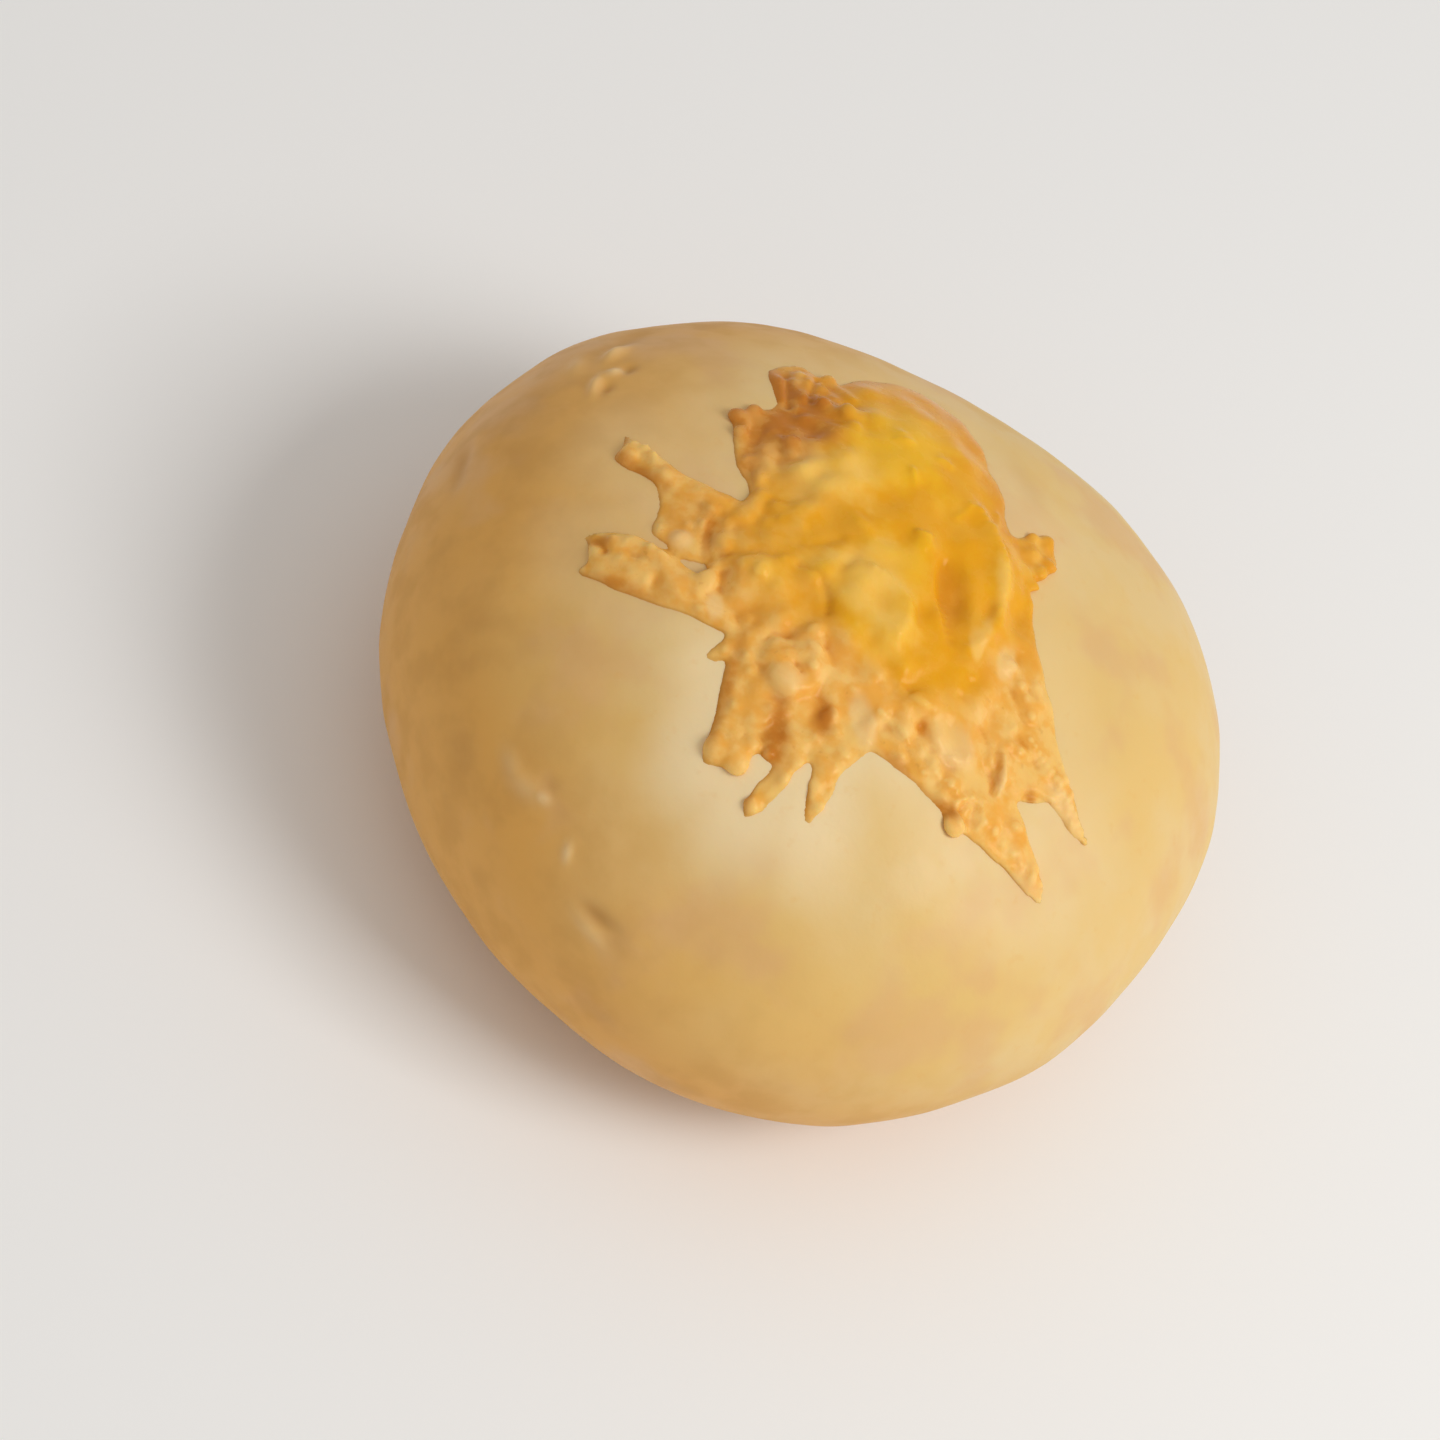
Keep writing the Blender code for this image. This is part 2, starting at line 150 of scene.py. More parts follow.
# Cheese pool, finer
POOL_SEGMENTS = 60
POOL_RINGS = 30
POOL_LUMPS = (
    (-11.2, 5.4, 4.6, 3.8, 60, 0.8),
    (-13, -7.6, 3.4, 2.6, 50, 0.6),
    (-1.8, -0.6, 2, 1.2, 20, 0.6),
    (-1.9, -4.6, 2.4, 1.8, 40, 0.5),
    (3.3, -7, 2.3, 2, -60, 0.4),
    (0.5, -8.6, 2.8, 1.5, -12, 0.35),
    (-5.2, -5.2, 2.2, 1.7, 70, 0.35),
    (0.1, -10.9, 2.4, 1.5, -20, 0.7),
    (3.9, -9.4, 2, 1.4, -60, 0.6),
    (-7.6, -12.2, 2.4, 1.6, -60, 0.6),
    (-3.4, -8.4, 1.8, 1.3, 30, 0.45),
    (-10.8, -0.4, 3.6, 1.2, 62, 0.65),
    (-9, 4.4, 3, 1.2, 40, 0.5),
    (-13.6, 4, 2.6, 1.5, 50, 0.55),
    (-12.8, 8.8, 2.2, 1.4, 40, 0.5),
    (-6.1, 15.4, 1.4, 0.7, -30, 0.4),
    (-0.8, 15.9, 1.3, 0.7, 10, 0.35),
    (-2.9, 10.9, 1.2, 0.8, 70, 0.35),
    (1.6, 3.3, 1.3, 1.1, 0, 0.5),
    (-4.6, 1.2, 2, 0.8, -30, 0.45),
    (3, 8, 2.6, 1.3, -40, -0.4),
    (-4.2, 6.8, 2.8, 1.6, 30, -0.35),
    (5.4, -3.4, 2.2, 0.9, 75, -0.45),
    (-3.9, -4.2, 1.8, 0.6, 80, -0.4),
    (5.6, 11.4, 4, 1.1, -40, 0.35),
    (10.6, 5.4, 3.8, 1.1, -62, 0.55),
    (12.4, -1.2, 3.2, 1.2, -90, 0.7),
    (14.6, 3.6, 3, 1, -75, -0.35),
)

# Arms of melted shreds. Each arm is a film between two edges, with a rib along each edge and ribs
# between them: (left edge, right edge, rib width, ribs between, film height, share of its length
# that the film fills). An edge is its root, middle and tip. Places and sizes are in millimetres.
ARMS = {
    "right_hook": (
        ((20, -9.5), (26.6, -11.2), (32.9, -10.9)),
        ((21, -0.8), (27.2, -7), (33.2, -10.5)),
        1, 0, 0.55, 0.9,
    ),
    "right_web": (
        ((13, -14), (18.6, -15), (23, -15.6)),
        ((16.5, -4), (22, -7.4), (26.6, -10.8)),
        1, 1, 0.65, 1,
    ),
    "right_long": (
        ((5, -19.6), (18.6, -20.3), (31.7, -19.6)),
        ((16.5, -12), (25.4, -14.6), (32, -18.4)),
        1.2, 1, 0.6, 0.95,
    ),
    "front_gap": (
        ((-3, -18), (-2, -22.8), (-1.4, -26.8)),
        ((1.4, -18), (1.2, -23), (0.8, -26.8)),
        0.6, 0, 0.85, 1,
    ),
    "front_film": (
        ((0.8, -18.5), (1.8, -22), (2.8, -25)),
        ((9, -18), (8, -21.2), (6.8, -24.2)),
        0.7, 0, 0.8, 1,
    ),
    "front_thin": (
        ((2.6, -18.5), (4.2, -25.4), (6.1, -30)),
        ((7.2, -18), (7.2, -24.4), (7.5, -29.6)),
        1.7, 0, 0.7, 0.85,
    ),
    "front_middle": (
        ((0.2, -19.5), (0, -26.6), (0, -32.5)),
        ((3.2, -19), (3.1, -25.8), (1.6, -32)),
        1.8, 0, 0.8, 0.9,
    ),
    "front_blunt": (
        ((-10.2, -13.5), (-8.4, -22.2), (-5.9, -30)),
        ((-1.6, -17.5), (-1.2, -23.4), (-1.6, -28.6)),
        1.9, 1, 1, 1,
    ),
    "left_hair": (
        ((-9.4, -14.5), (-10.5, -18.2), (-11.5, -20.8)),
        ((-7.8, -15.5), (-9.2, -18.4), (-10.4, -21)),
        0.9, 0, 0.4, 0.9,
    ),
    "left_club": (
        ((-9.4, -16.4), (-18.8, -17.7), (-26.8, -17.4)),
        ((-11.6, -14.4), (-21.2, -11), (-28.9, -12.3)),
        1.7, 1, 1.15, 0.94,
    ),
    "left_rod": (
        ((-16, -4.8), (-24.4, -4.3), (-30.8, -2.9)),
        ((-15.5, -1.9), (-23.6, -0.9), (-30.9, 1.6)),
        1.8, 0, 1, 1,
    ),
    "left_film": (
        ((-14.8, -10.8), (-18.8, -10.9), (-22.4, -10.4)),
        ((-14.8, -4.5), (-20.6, -3.8), (-25.4, -4.2)),
        0.7, 0, 0.42, 1,
    ),
    "back_left": (
        ((-15.6, -1.5), (-19.6, 3), (-22.8, 8.2)),
        ((-12.5, 8), (-16, 10), (-19.8, 12.4)),
        1.5, 1, 0.8, 1,
    ),
    "back_knob": (
        ((-15, 10), (-20, 13.8), (-22.6, 19.2)),
        ((-12, 19), (-16.2, 21.6), (-20, 22.8)),
        1.6, 1, 0.8, 0.95,
    ),
    "right_curl": (
        ((8, 12.6), (10.6, 15.4), (12.9, 18.2)),
        ((12.4, 8.4), (14.6, 11.2), (15, 15)),
        1.2, 1, 0.5, 1,
    ),
    "right_rim": (
        ((12.6, 3), (16.8, -2.6), (20.8, -6.4)),
        ((14.2, 8), (18.4, 1.8), (23.6, -3.6)),
        1, 0, 0.6, 1,
    ),
}
# Single strands that stand out, each (root, middle, tip, width)
STRANDS = {
    "pool_edge_right": ((11.4, 10.8), (15.2, 5.4), (17.2, -0.8), 1),
    "between_front_arms": ((2.8, -17.5), (3.7, -20), (4, -22.4), 1.8),
    "hair_ridge": ((-7.6, -12.6), (-9.6, -16.4), (-11.2, -20.6), 1.3),
    "club_rib": ((-13.4, -15.6), (-19.8, -14.6), (-25.4, -13.6), 1.9),
    "rod_rib": ((-17, -3.6), (-24, -2.4), (-30.4, -0.6), 2.6),
    "long_edge": ((6.4, -18.9), (18, -19.6), (30.6, -18.8), 1.5),
}
SHRED_STEP = 0.0006
SHRED_SWELL = 0.30  # how far a shred's width swells and narrows, as a share
SHRED_SWELL_LENGTH = 0.003
SHRED_STRAY = 0.40  # how far it strays sideways, in widths
SHRED_STRAY_LENGTH = 0.0045
SHRED_LIFT = -0.30  # height of its middle above what it lies on, in half widths
SHRED_END = 0.6  # of its width
BEND_STEP = 0.02
RIB_WIDTHS = (0.85, 1.15)  # shares of the arm's rib width
RIB_TAPER = 0.3  # of its width, towards its tip
RIB_STRAY = 0.3  # how far a rib between the edges lies off its place, in gaps
RIB_STARTS = (0.0, 0.35)  # shares of the arm where such a rib starts and ends
RIB_ENDS = (0.60, 0.95)
FILM_SEGMENTS, FILM_RINGS = 48, 24
FILM_SINK = 0.001
FILM_REACH = 0.94  # share of the arm's width that the film fills
FILM_RELIEF = 0.8  # how far the film's height swells and sinks, as a share of it
FILM_RELIEF_SIZE = 0.0026
FILM_FULLNESS = 0.75  # 1 gives a flattened ball, and less is thicker towards its edge
FILM_WAVER = 0.0009  # how far it strays, along and across, by two slices of a noise
FILM_WAVER_SIZE = 0.00325
FILM_WAVER_SLICES = (3.3, 8.7)
BEAD_AREA = 0.00001  # an arm has a small bead for each so many square metres
BEAD_WIDTHS = (0.001, 0.0015)
BEAD_ALONG = (0.1, 0.9)
BEAD_ACROSS = (0.15, 0.85)
BEAD_LIFT = 0.7  # in film heights
BEVEL_UNIT = 0.001  # a tube's radius is counted in it

# Short shreds that lie on the pool's rough front and left rim
RIM_SHREDS = 40
RIM_FROM, RIM_TO = -232.0, -48.0
RIM_LENGTHS = (0.0024, 0.005)
RIM_WIDTHS = (0.0015, 0.0028)
RIM_BAND = (0.64, 0.96)
RIM_SCATTER = 0.90
RIM_BEND = 0.3
RIM_LIFT = 0.75
RIM_SHRED_LIFT = 0.06  # how much higher than an arm's rib such a shred lies, in its widths
RIM_RELIEF = (0.001, 0.0027)  # height and size of the rim's soft lumps
RIM_RELIEF_FROM = (0.25, 0.65)  # shares of the pool's reach where they begin and are full

# Knobs that stand up from the arms and the rim, each (x, y, width) in millimetres
KNOBS = (
    (-2.9, -18.9, 3.4), (-5.1, -28, 3), (-4.3, -26, 1.8), (0.9, -31, 1.7),
    (-3, -28, 3), (-5.4, -23.6, 1.8), (-3.6, -22.6, 1.8), (2, -25, 1.8),
    (5.3, -26.1, 1.6), (6.1, -13.6, 1.8), (3.3, -15.6, 1.6), (10.2, -12.5, 1.3),
    (12.9, -11.4, 1.4), (8.9, -15.6, 1.3), (13.1, -6.3, 1.4), (15.7, -2.2, 2.2),
    (18.9, -10.6, 1.2), (26.8, -8.1, 1.7), (19.4, -20.7, 2.4), (26.7, -17.8, 1.4),
    (-22.9, -12.4, 1.8), (-21.3, -13.1, 1.6), (-22.6, -14.4, 1.6), (-20.2, -14.3, 1.8),
    (-20.3, -15.9, 1.4), (-24.4, -13.2, 1.5), (-18.8, -13.7, 1.4), (-15.2, -12.9, 2.4),
    (-15.7, -7.7, 2.1), (-14.4, -6.4, 1.6), (-15.9, -4, 1.9), (-13.8, -9.6, 1.8),
    (-12.8, -3.3, 1.8), (-19.9, -9.4, 1.6), (-18.8, -4.5, 1.5), (-22, 9, 2.2), (-21, 10.8, 1.9),
    (-18.1, 3.8, 1.6), (-19.1, 19.6, 1.7), (-18.6, 16.9, 1.6), (-16.2, 18.6, 1.8),
    (-16.2, 21.6, 1.6), (-15.6, 12.2, 1.9), (-15.2, 7.6, 2), (-17, 13.6, 1.5),
    (11.4, 15.6, 1.6), (14, 11.8, 1.7), (14.4, 13.6, 1.5), (13.9, 9.4, 1.5), (12.2, 13.4, 1.7),
    (13, 16.4, 1.8), (12.6, 10.4, 1.3),
)
KNOB_STRETCH = (0.05, 0.45)  # how much longer than wide a knob is, as a share
KNOB_HEIGHT = 0.66  # in its widths
KNOB_LIFT = 0.12  # height of a knob's middle above what it lies on, in its widths
ARM_KNOB_LIFT = 0.0003  # how much higher a knob lies on an arm's film
KNOB_SHARE = 0.25  # of the rim's short shreds, the share that carries a small knob too
SMALL_KNOBS = (0.0013, 0.002)
SMALL_KNOB_LIFT = 0.3  # in the shred's widths
SHRED_SEED = 7

# Folds and seams in the melted surface, each (root, middle, tip, half width, height) in
# millimetres. A seam has a negative height.
FOLDS = (
    ((5.1, 12.9), (9.9, 8.3), (12.1, 2.4), 0.75, 0.32),
    ((12.1, 2.4), (12.6, -0.6), (11.4, -4.4), 0.8, 0.42),
    ((4.7, 3.2), (5.9, 0), (9.3, -4.8), 0.7, -0.28),
    ((-1.2, -3.4), (3.4, -4.4), (4.4, -8.6), 0.7, 0.26),
    ((-6.6, 15), (-5.8, 15.4), (-5, 15.9), 0.35, 0.16),
    ((-1.6, 16), (-0.9, 16.2), (-0.2, 16.1), 0.35, 0.16),
    ((-2.4, 10.3), (-2.9, 10.9), (-3.5, 11.7), 0.35, 0.18),
    ((3.2, 9.6), (3.7, 10.9), (3.8, 12.4), 0.45, 0.2),
    ((7.2, 11.6), (7.4, 13), (6.9, 14.6), 0.4, 0.2),
    ((0.6, 4.2), (1.2, 4.3), (1.8, 4.6), 0.4, 0.3),
    ((-8, -7), (-5.2, -7.6), (-3, -10.2), 0.5, -0.3),
    ((-6, -1.6), (-7.6, -3.4), (-9.2, -4.4), 0.7, -0.25),
    ((13.5, -9.4), (15.6, -9.9), (18.2, -11.2), 0.55, -0.2),
    ((19.3, -10.4), (19.7, -11.4), (20.2, -12.4), 0.55, -0.2),
    ((20.3, -13.8), (20.9, -14.4), (21.2, -15.3), 0.5, -0.18),
    ((20.3, -11.4), (21.3, -13), (21.9, -14.8), 0.4, 0.35),
    ((11.6, -14.6), (13.4, -16), (16.4, -16.1), 0.5, -0.2),
    ((18.8, -7.1), (21, -7.9), (24, -9.2), 0.6, -0.18),
    ((19.5, -17.4), (18.7, -19.4), (20.8, -20.8), 0.4, 0.3),
    ((21.9, -19.4), (21.4, -17.6), (19.9, -17.2), 0.4, 0.25),
    ((14.5, -17.6), (20, -18.2), (29.5, -18.6), 0.5, 0.22),
    ((22, -7.4), (27, -9), (32.4, -10.6), 0.55, 0.3),
    ((7, -16.4), (10.5, -16.8), (14, -18.6), 0.45, 0.25),
    ((7.4, -13), (9.4, -13.4), (11.6, -12.8), 0.45, 0.25),
    ((24.6, -12.8), (25.4, -12), (26.4, -11.8), 0.45, -0.35),
    ((-1.6, -21.8), (-0.4, -24), (0.4, -27), 0.6, -0.12),
    ((1.3, -18.6), (2.5, -20), (3.1, -22), 0.5, -0.15),
    ((-18.2, -6.2), (-17.7, -8.2), (-16.6, -10.2), 0.5, -0.45),
    ((-26, -14.2), (-26.9, -13.4), (-28.6, -12.6), 0.55, -0.6),
    ((-17.4, -0.6), (-18.6, 3.6), (-19.6, 8.4), 0.9, -0.5),
    ((-20.4, 18.6), (-19.4, 16.2), (-18.4, 13.6), 0.45, -0.5),
    ((-17.4, 20.4), (-17.3, 18), (-16.6, 15.6), 0.4, -0.4),
)
FOLD_STEPS = 14
FOLD_FADE = (0.1, 0.5)  # they fade out where the surface turns away from upwards
SEAM_SHARE = 0.6  # of the cheese's thickness, the share that a seam can go through
# Patches that are browner, partly baked and partly painted shade in gaps and along edges away from the lamp,
# and patches that are paler, partly a painted highlight on lit lumps and glints
BROWN_AND_SHADE_SPOTS = (
    (7.1, 0.2, 4.2, 1.5, -58, 0.22),
    (-0.6, -24.4, 3.6, 1.3, -65, 1.2),
    (2.4, -20.2, 2.2, 1.1, -60, 1),
    (-18.5, 4.8, 5.2, 1.5, -80, 0.95),
    (-19.8, 16.6, 2.8, 0.7, -68, 1),
    (-17, 18.4, 2.4, 0.5, -80, 0.7),
    (-7.5, -23, 6, 0.8, -75, 0.75),
    (-0.2, -30, 2.8, 0.6, -75, 0.7),
    (5, -28.2, 2.4, 0.6, -60, 0.8),
    (11.1, -19.6, 1.8, 0.7, 0, 0.9),
    (18.3, -20.2, 1.4, 0.8, 0, 0.8),
    (14.8, -20.2, 3.6, 0.6, 0, 0.6),
    (20.3, -12.4, 2, 0.6, -64, 0.65),
    (25.2, -12.4, 1.2, 0.6, -40, 0.85),
    (-22.8, -17.2, 4.6, 0.7, 0, 0.7),
    (-28.4, -3.1, 3.4, 0.8, -20, 0.9),
    (-31, -0.8, 2, 0.6, 80, 0.8),
    (-17.5, -8.2, 2.4, 0.6, -68, 0.85),
    (-20.2, -6.8, 3.4, 2.6, 20, 0.28),
    (-27.2, -13.2, 1.5, 0.6, 20, 0.8),
    (-24.6, -6.4, 3.4, 0.5, 78, 0.5),
    (-13.6, 25.6, 5, 1.8, 32, 0.45),
)
PALE_AND_LIT_SPOTS = (
    (-2.9, -18.9, 2, 1.9, 0, 0.55),
    (5.8, -17.8, 3, 1.5, -45, 0.9),
    (-19.9, -9.4, 1.5, 1.2, 0, 1),
    (-13, -15.2, 1.8, 1, -60, 0.9),
    (15.4, -14.2, 3.4, 2, -20, 0.8),
    (15.7, -2.2, 2.4, 1.2, -80, 0.8),
    (1.2, -6.6, 5.6, 3.8, -26, 0.62),
    (-6.5, -2.5, 6.5, 9.5, 0, 0.4),
    (-10.6, 5.6, 5, 4, 50, 0.45),
    (10.6, 6, 4.2, 0.8, -62, 0.45),
    (12.2, -2, 2.6, 0.7, -80, 0.6),
    (12.6, 13.4, 4.6, 3, 70, 0.4),
    (29, -18.6, 4, 1.8, 0, 0.38),
    (24.5, -17, 4, 1.2, -15, 0.35),
    (28.4, -10.4, 3.6, 1.2, -12, 0.5),
    (-19.2, 18.6, 2.4, 0.6, -80, 0.6),
    (-22.2, 9.2, 1.2, 1.2, 0, 0.6),
    (21.4, -13.4, 1.8, 0.5, -68, 0.7),
    (11.9, -3.6, 2.2, 0.9, -60, 0.7),
)

# Cheese, finer
MELT_VOXEL = 0.00029
SMOOTHING_PASSES = 11
SUNK_UNDERSIDE = 0.00025  # the underside lies this far inside the crust, so no gap shows
# Each kind of relief is (passes of smoothing that it is measured against, height that counts in full)
FINE_RELIEF = (14, 0.0003)
BROAD_RELIEF = (90, 0.0008)
EDGE_HEIGHT = 0.00008  # cheese lower than this over the crust is edge, and its neighbours take the edge's painted shade
EDGE_SPREAD = 9  # passes
EDGE_SHARES = (0.02, 0.45)
DEPTHS = (0.0004, 0.0034)  # cheese from this thin to this thick turns from orange to pale yellow
# The deep yellow part is where these patches add up
YELLOW_PATCHES = (
    (-1, 17, 18, 13, -25, 1.6),
    (4, 3, 13, 11, 0, 1.4),
    (-6, -3, 12.5, 11, 0, 1.1),
    (7, -7.5, 8.5, 6, -35, 1.1),
)
YELLOW_WANDER = 0.35
YELLOW_SOFTNESS = (0.05, 1.20)
CHEESE_WANDER_SIZE = 0.004
SHADED_EDGE_SIDE = -140.0  # edges that face this way, away from the lamp, take the most painted shade
SHADED_EDGE_RANGE = (-0.25, 0.55)
EDGE_MELT = 0.00022  # how high over the crust the melt starts to thin out into it

# The back left of the cheese is browner round this spot, partly baked and partly painted shade, and fades out
# over this range
BAKED_AND_SHADED_SPOT = (-0.0190, 0.0130)
BAKED_AND_SHADED_RANGE = (0.004, 0.0105)
BAKED_AND_SHADED_WANDER = 0.002

# The crust is palest towards the crown and one side, the side the lamp lights, and golden brown away from
# there: partly baked browning, partly painted shade
PALE_AND_LIT_WAY = (0.39, 0.01, 0.92)
PALE_AND_LIT_RANGE = (-0.04, 0.50)
CRUST_WANDER_SIZE = 0.015
TOAST_AND_SHADE_WANDER = 0.12

# Round the cheese the crust is paler, a painted highlight, most of all on one side
HALO_REACH = (0.0005, 0.0095)
HALO_WANDER = 0.004
HALO_LIMIT = 0.02
HALO_SIDE = -92.0
HALO_SIDE_FADE = (18.0, 50.0)
HALO_ELSEWHERE = 0.25

# Camera, fitted to the photo's outline of the roll
CAMERA_ELEVATION = 52.0
CAMERA_ROLL = 32.0
CAMERA_DISTANCE = 0.440
CAMERA_LENS = 100.0
PHOTO_SIZE = 1440
ROLL_PIXEL = (799, 712)
LAMP_WAY = (0.785, 0.62)  # to the camera's right, and towards the camera
LAMP_DISTANCE = 0.9


# Materials


class Nodes:
    """Short ways to add shader nodes to a material or a node group."""

    def __init__(self, tree):
        self.tree = tree
        self.shader = tree.nodes.get("Principled BSDF")

    def add(self, kind, **values):
        node = self.tree.nodes.new(kind)
        for name, value in values.items():
            setattr(node, name, value)
        return node

    def put(self, socket, value):
        """Sets a socket to a number or colour, or joins it to another node's output."""
        if isinstance(value, float):
            socket.default_value = value
        elif isinstance(value, tuple):
            socket.default_value = (*value, 1.0)
        else:
            self.tree.links.new(value, socket)

    def attribute(self, name):
        return self.add("ShaderNodeAttribute", attribute_name=name).outputs["Fac"]

    def ramp(self, value, low=0.0, high=1.0, to_low=0.0, to_high=1.0):
        """A smooth step of a value between low and high."""
        node = self.add("ShaderNodeMapRange", interpolation_type="SMOOTHSTEP")
        sockets = ("Value", "From Min", "From Max", "To Min", "To Max")
        for name, number in zip(sockets, (value, low, high, to_low, to_high)):
            self.put(node.inputs[name], number)
        return node.outputs["Result"]

    def math(self, operation, a, b):
        node = self.add("ShaderNodeMath", operation=operation)
        self.put(node.inputs[0], a)
        self.put(node.inputs[1], b)
        return node.outputs["Value"]

    def times(self, a, b):
        return self.math("MULTIPLY", a, b)

    def mix(self, share, a, b):
        """Colour a turning into colour b by a share."""
        node = self.add("ShaderNodeMix", data_type="RGBA")
        for socket, value in ((0, share), (6, a), (7, b)):
            self.put(node.inputs[socket], value)
        return node.outputs[2]

    def layers(self, colour, *layers):
        """A colour under layers of other colours, each (share, colour)."""
        for share, other in layers:
            colour = self.mix(share, colour, other)
        return colour

    def noise(self, size, detail):
        """Noise in object space whose lumps are about as large as size, in metres."""
        texture = self.add("ShaderNodeTexNoise")
        place = self.add("ShaderNodeTexCoord").outputs["Object"]
        self.put(texture.inputs["Vector"], place)
        self.put(texture.inputs["Scale"], self.math("DIVIDE", 1.0, size))
        self.put(texture.inputs["Detail"], detail)
        return texture.outputs["Fac"]

    def bump(self, height, distance, normal=None):
        node = self.add("ShaderNodeBump")
        self.put(node.inputs["Strength"], 0.5)
        self.put(node.inputs["Distance"], distance)
        self.put(node.inputs["Height"], height)
        if normal:
            self.put(node.inputs["Normal"], normal)
        return node.outputs["Normal"]

    def group(self, tree, **values):
        """A node group's output, with its inputs set by name (underscores stand for spaces)."""
        node = self.add("ShaderNodeGroup", node_tree=tree)
        for name, value in values.items():
            self.put(node.inputs[name.replace("_", " ").capitalize()], value)
        return node.outputs[0]


def new_group(name, inputs, output, output_kind):
    """A node group with number inputs and one output. Gives it with its Nodes, inputs and output."""
    group = bpy.data.node_groups.new(name, "ShaderNodeTree")
    for input_name in inputs:
        group.interface.new_socket(input_name, in_out="INPUT", socket_type="NodeSocketFloat")
    group.interface.new_socket(output, in_out="OUTPUT", socket_type=output_kind)
    n = Nodes(group)
    return group, n, n.add("NodeGroupInput").outputs, n.add("NodeGroupOutput").inputs[0]


def mottle_group():
    """Soft mottling: noise in lumps of a size, as a share that rises from low to high."""
    group, n, value, output = new_group("mottle", ("Size", "Low", "High"), "Share", "NodeSocketFloat")
    n.put(output, n.ramp(n.noise(value["Size"], 3.0), value["Low"], value["High"]))
    return group


def skin_grain_group():
    """Fine unevenness of a baked surface, in two sizes, as a normal."""
    names = ("Fine size", "Fine depth", "Broad size", "Broad depth")
    group, n, value, output = new_group("skin_grain", names, "Normal", "NodeSocketVector")
    fine = n.bump(n.noise(value["Fine size"], 3.0), value["Fine depth"])
    n.put(output, n.bump(n.noise(value["Broad size"], 3.0), value["Broad depth"], fine))
    return group


def new_material(name, roughness, subsurface, radius):
    """A material of a soft food, that light enters as deep as radius, in red, green and blue."""
    material = bpy.data.materials.new(name)
    material.use_nodes = True
    shader = material.node_tree.nodes["Principled BSDF"]
    shader.inputs["Roughness"].default_value = roughness
    shader.inputs["Subsurface Weight"].default_value = subsurface
    shader.inputs["Subsurface Radius"].default_value = radius
    shader.inputs["Subsurface Scale"].default_value = 1.0
    shader.inputs["Specular IOR Level"].default_value = 0.35
    return material


CRUST_PALE = (0.81, 0.575, 0.245)
CRUST_GOLD = (0.81, 0.54, 0.182)
CRUST_BROWN = (0.79, 0.405, 0.085)
CRUST_BLUSH = (0.76, 0.44, 0.19)
CRUST_SHEEN = (0.92, 0.71, 0.40)
CRUST_MARK = (0.54, 0.26, 0.06)


def crust_material(mottle, skin_grain):
    """Satiny baked skin: mottled pale gold, browner on one side and at the base, paler by the cheese. The
    browner side is partly painted shade, and the paleness by the cheese is a painted highlight.
    """
    material = new_material("baked_crust", roughness=0.50, subsurface=0.12, radius=(0.003, 0.0016, 0.0007))
    n = Nodes(material.node_tree)
    broad = n.group(mottle, size=0.017, low=0.34, high=0.66)
    blotches = n.group(mottle, size=0.0055, low=0.38, high=0.68)
    blushes = n.group(mottle, size=0.0125, low=0.50, high=0.66)
    specks = n.group(mottle, size=0.0016, low=0.60, high=0.78)
    toast = n.attribute("toast")
    colour = n.layers(
        CRUST_PALE,
        (broad, CRUST_GOLD),
        (n.times(blotches, 0.40), CRUST_GOLD),
        # Browner away from the lamp's side: partly baked browning, partly painted shade
        (toast, CRUST_BROWN),
        (n.times(blushes, 0.50), CRUST_BLUSH),
        (n.times(blotches, n.times(toast, 0.30)), CRUST_MARK),
        # Painted highlight: paler crust round the cheese
        (n.attribute("halo"), CRUST_SHEEN),
        # Dark marks are baked brown patches and painted shade in dents; pale marks are a painted highlight on
        # raised lips and crumbs
        (n.attribute("mark"), CRUST_MARK),
        (n.attribute("lip"), CRUST_SHEEN),
        (n.times(specks, 0.16), CRUST_BROWN),
    )
    n.put(n.shader.inputs["Base Color"], colour)
    n.put(n.shader.inputs["Roughness"], n.ramp(blotches, to_low=0.46, to_high=0.56))
    depths = {"fine_depth": 0.00005, "broad_depth": 0.00014}
    n.put(n.shader.inputs["Normal"], n.group(skin_grain, fine_size=0.0009, broad_size=0.0042, **depths))
    return material


POOL_ORANGE = (0.80, 0.33, 0.014)
POOL_DEEP = (0.86, 0.39, 0.012)
POOL_LIGHT = (0.93, 0.50, 0.020)
RIM_TAN = (0.93, 0.445, 0.078)
RIM_PALE = (0.97, 0.61, 0.195)
CREVICE_SHADE = (0.68, 0.22, 0.012)
SCORCH_AND_SHADE_BROWN = (0.62, 0.25, 0.040)
CHEESE_BROWN_AND_SHADE = (0.60, 0.21, 0.025)
CHEESE_PALE = (0.96, 0.63, 0.270)
POOL_PALE = (0.98, 0.60, 0.150)


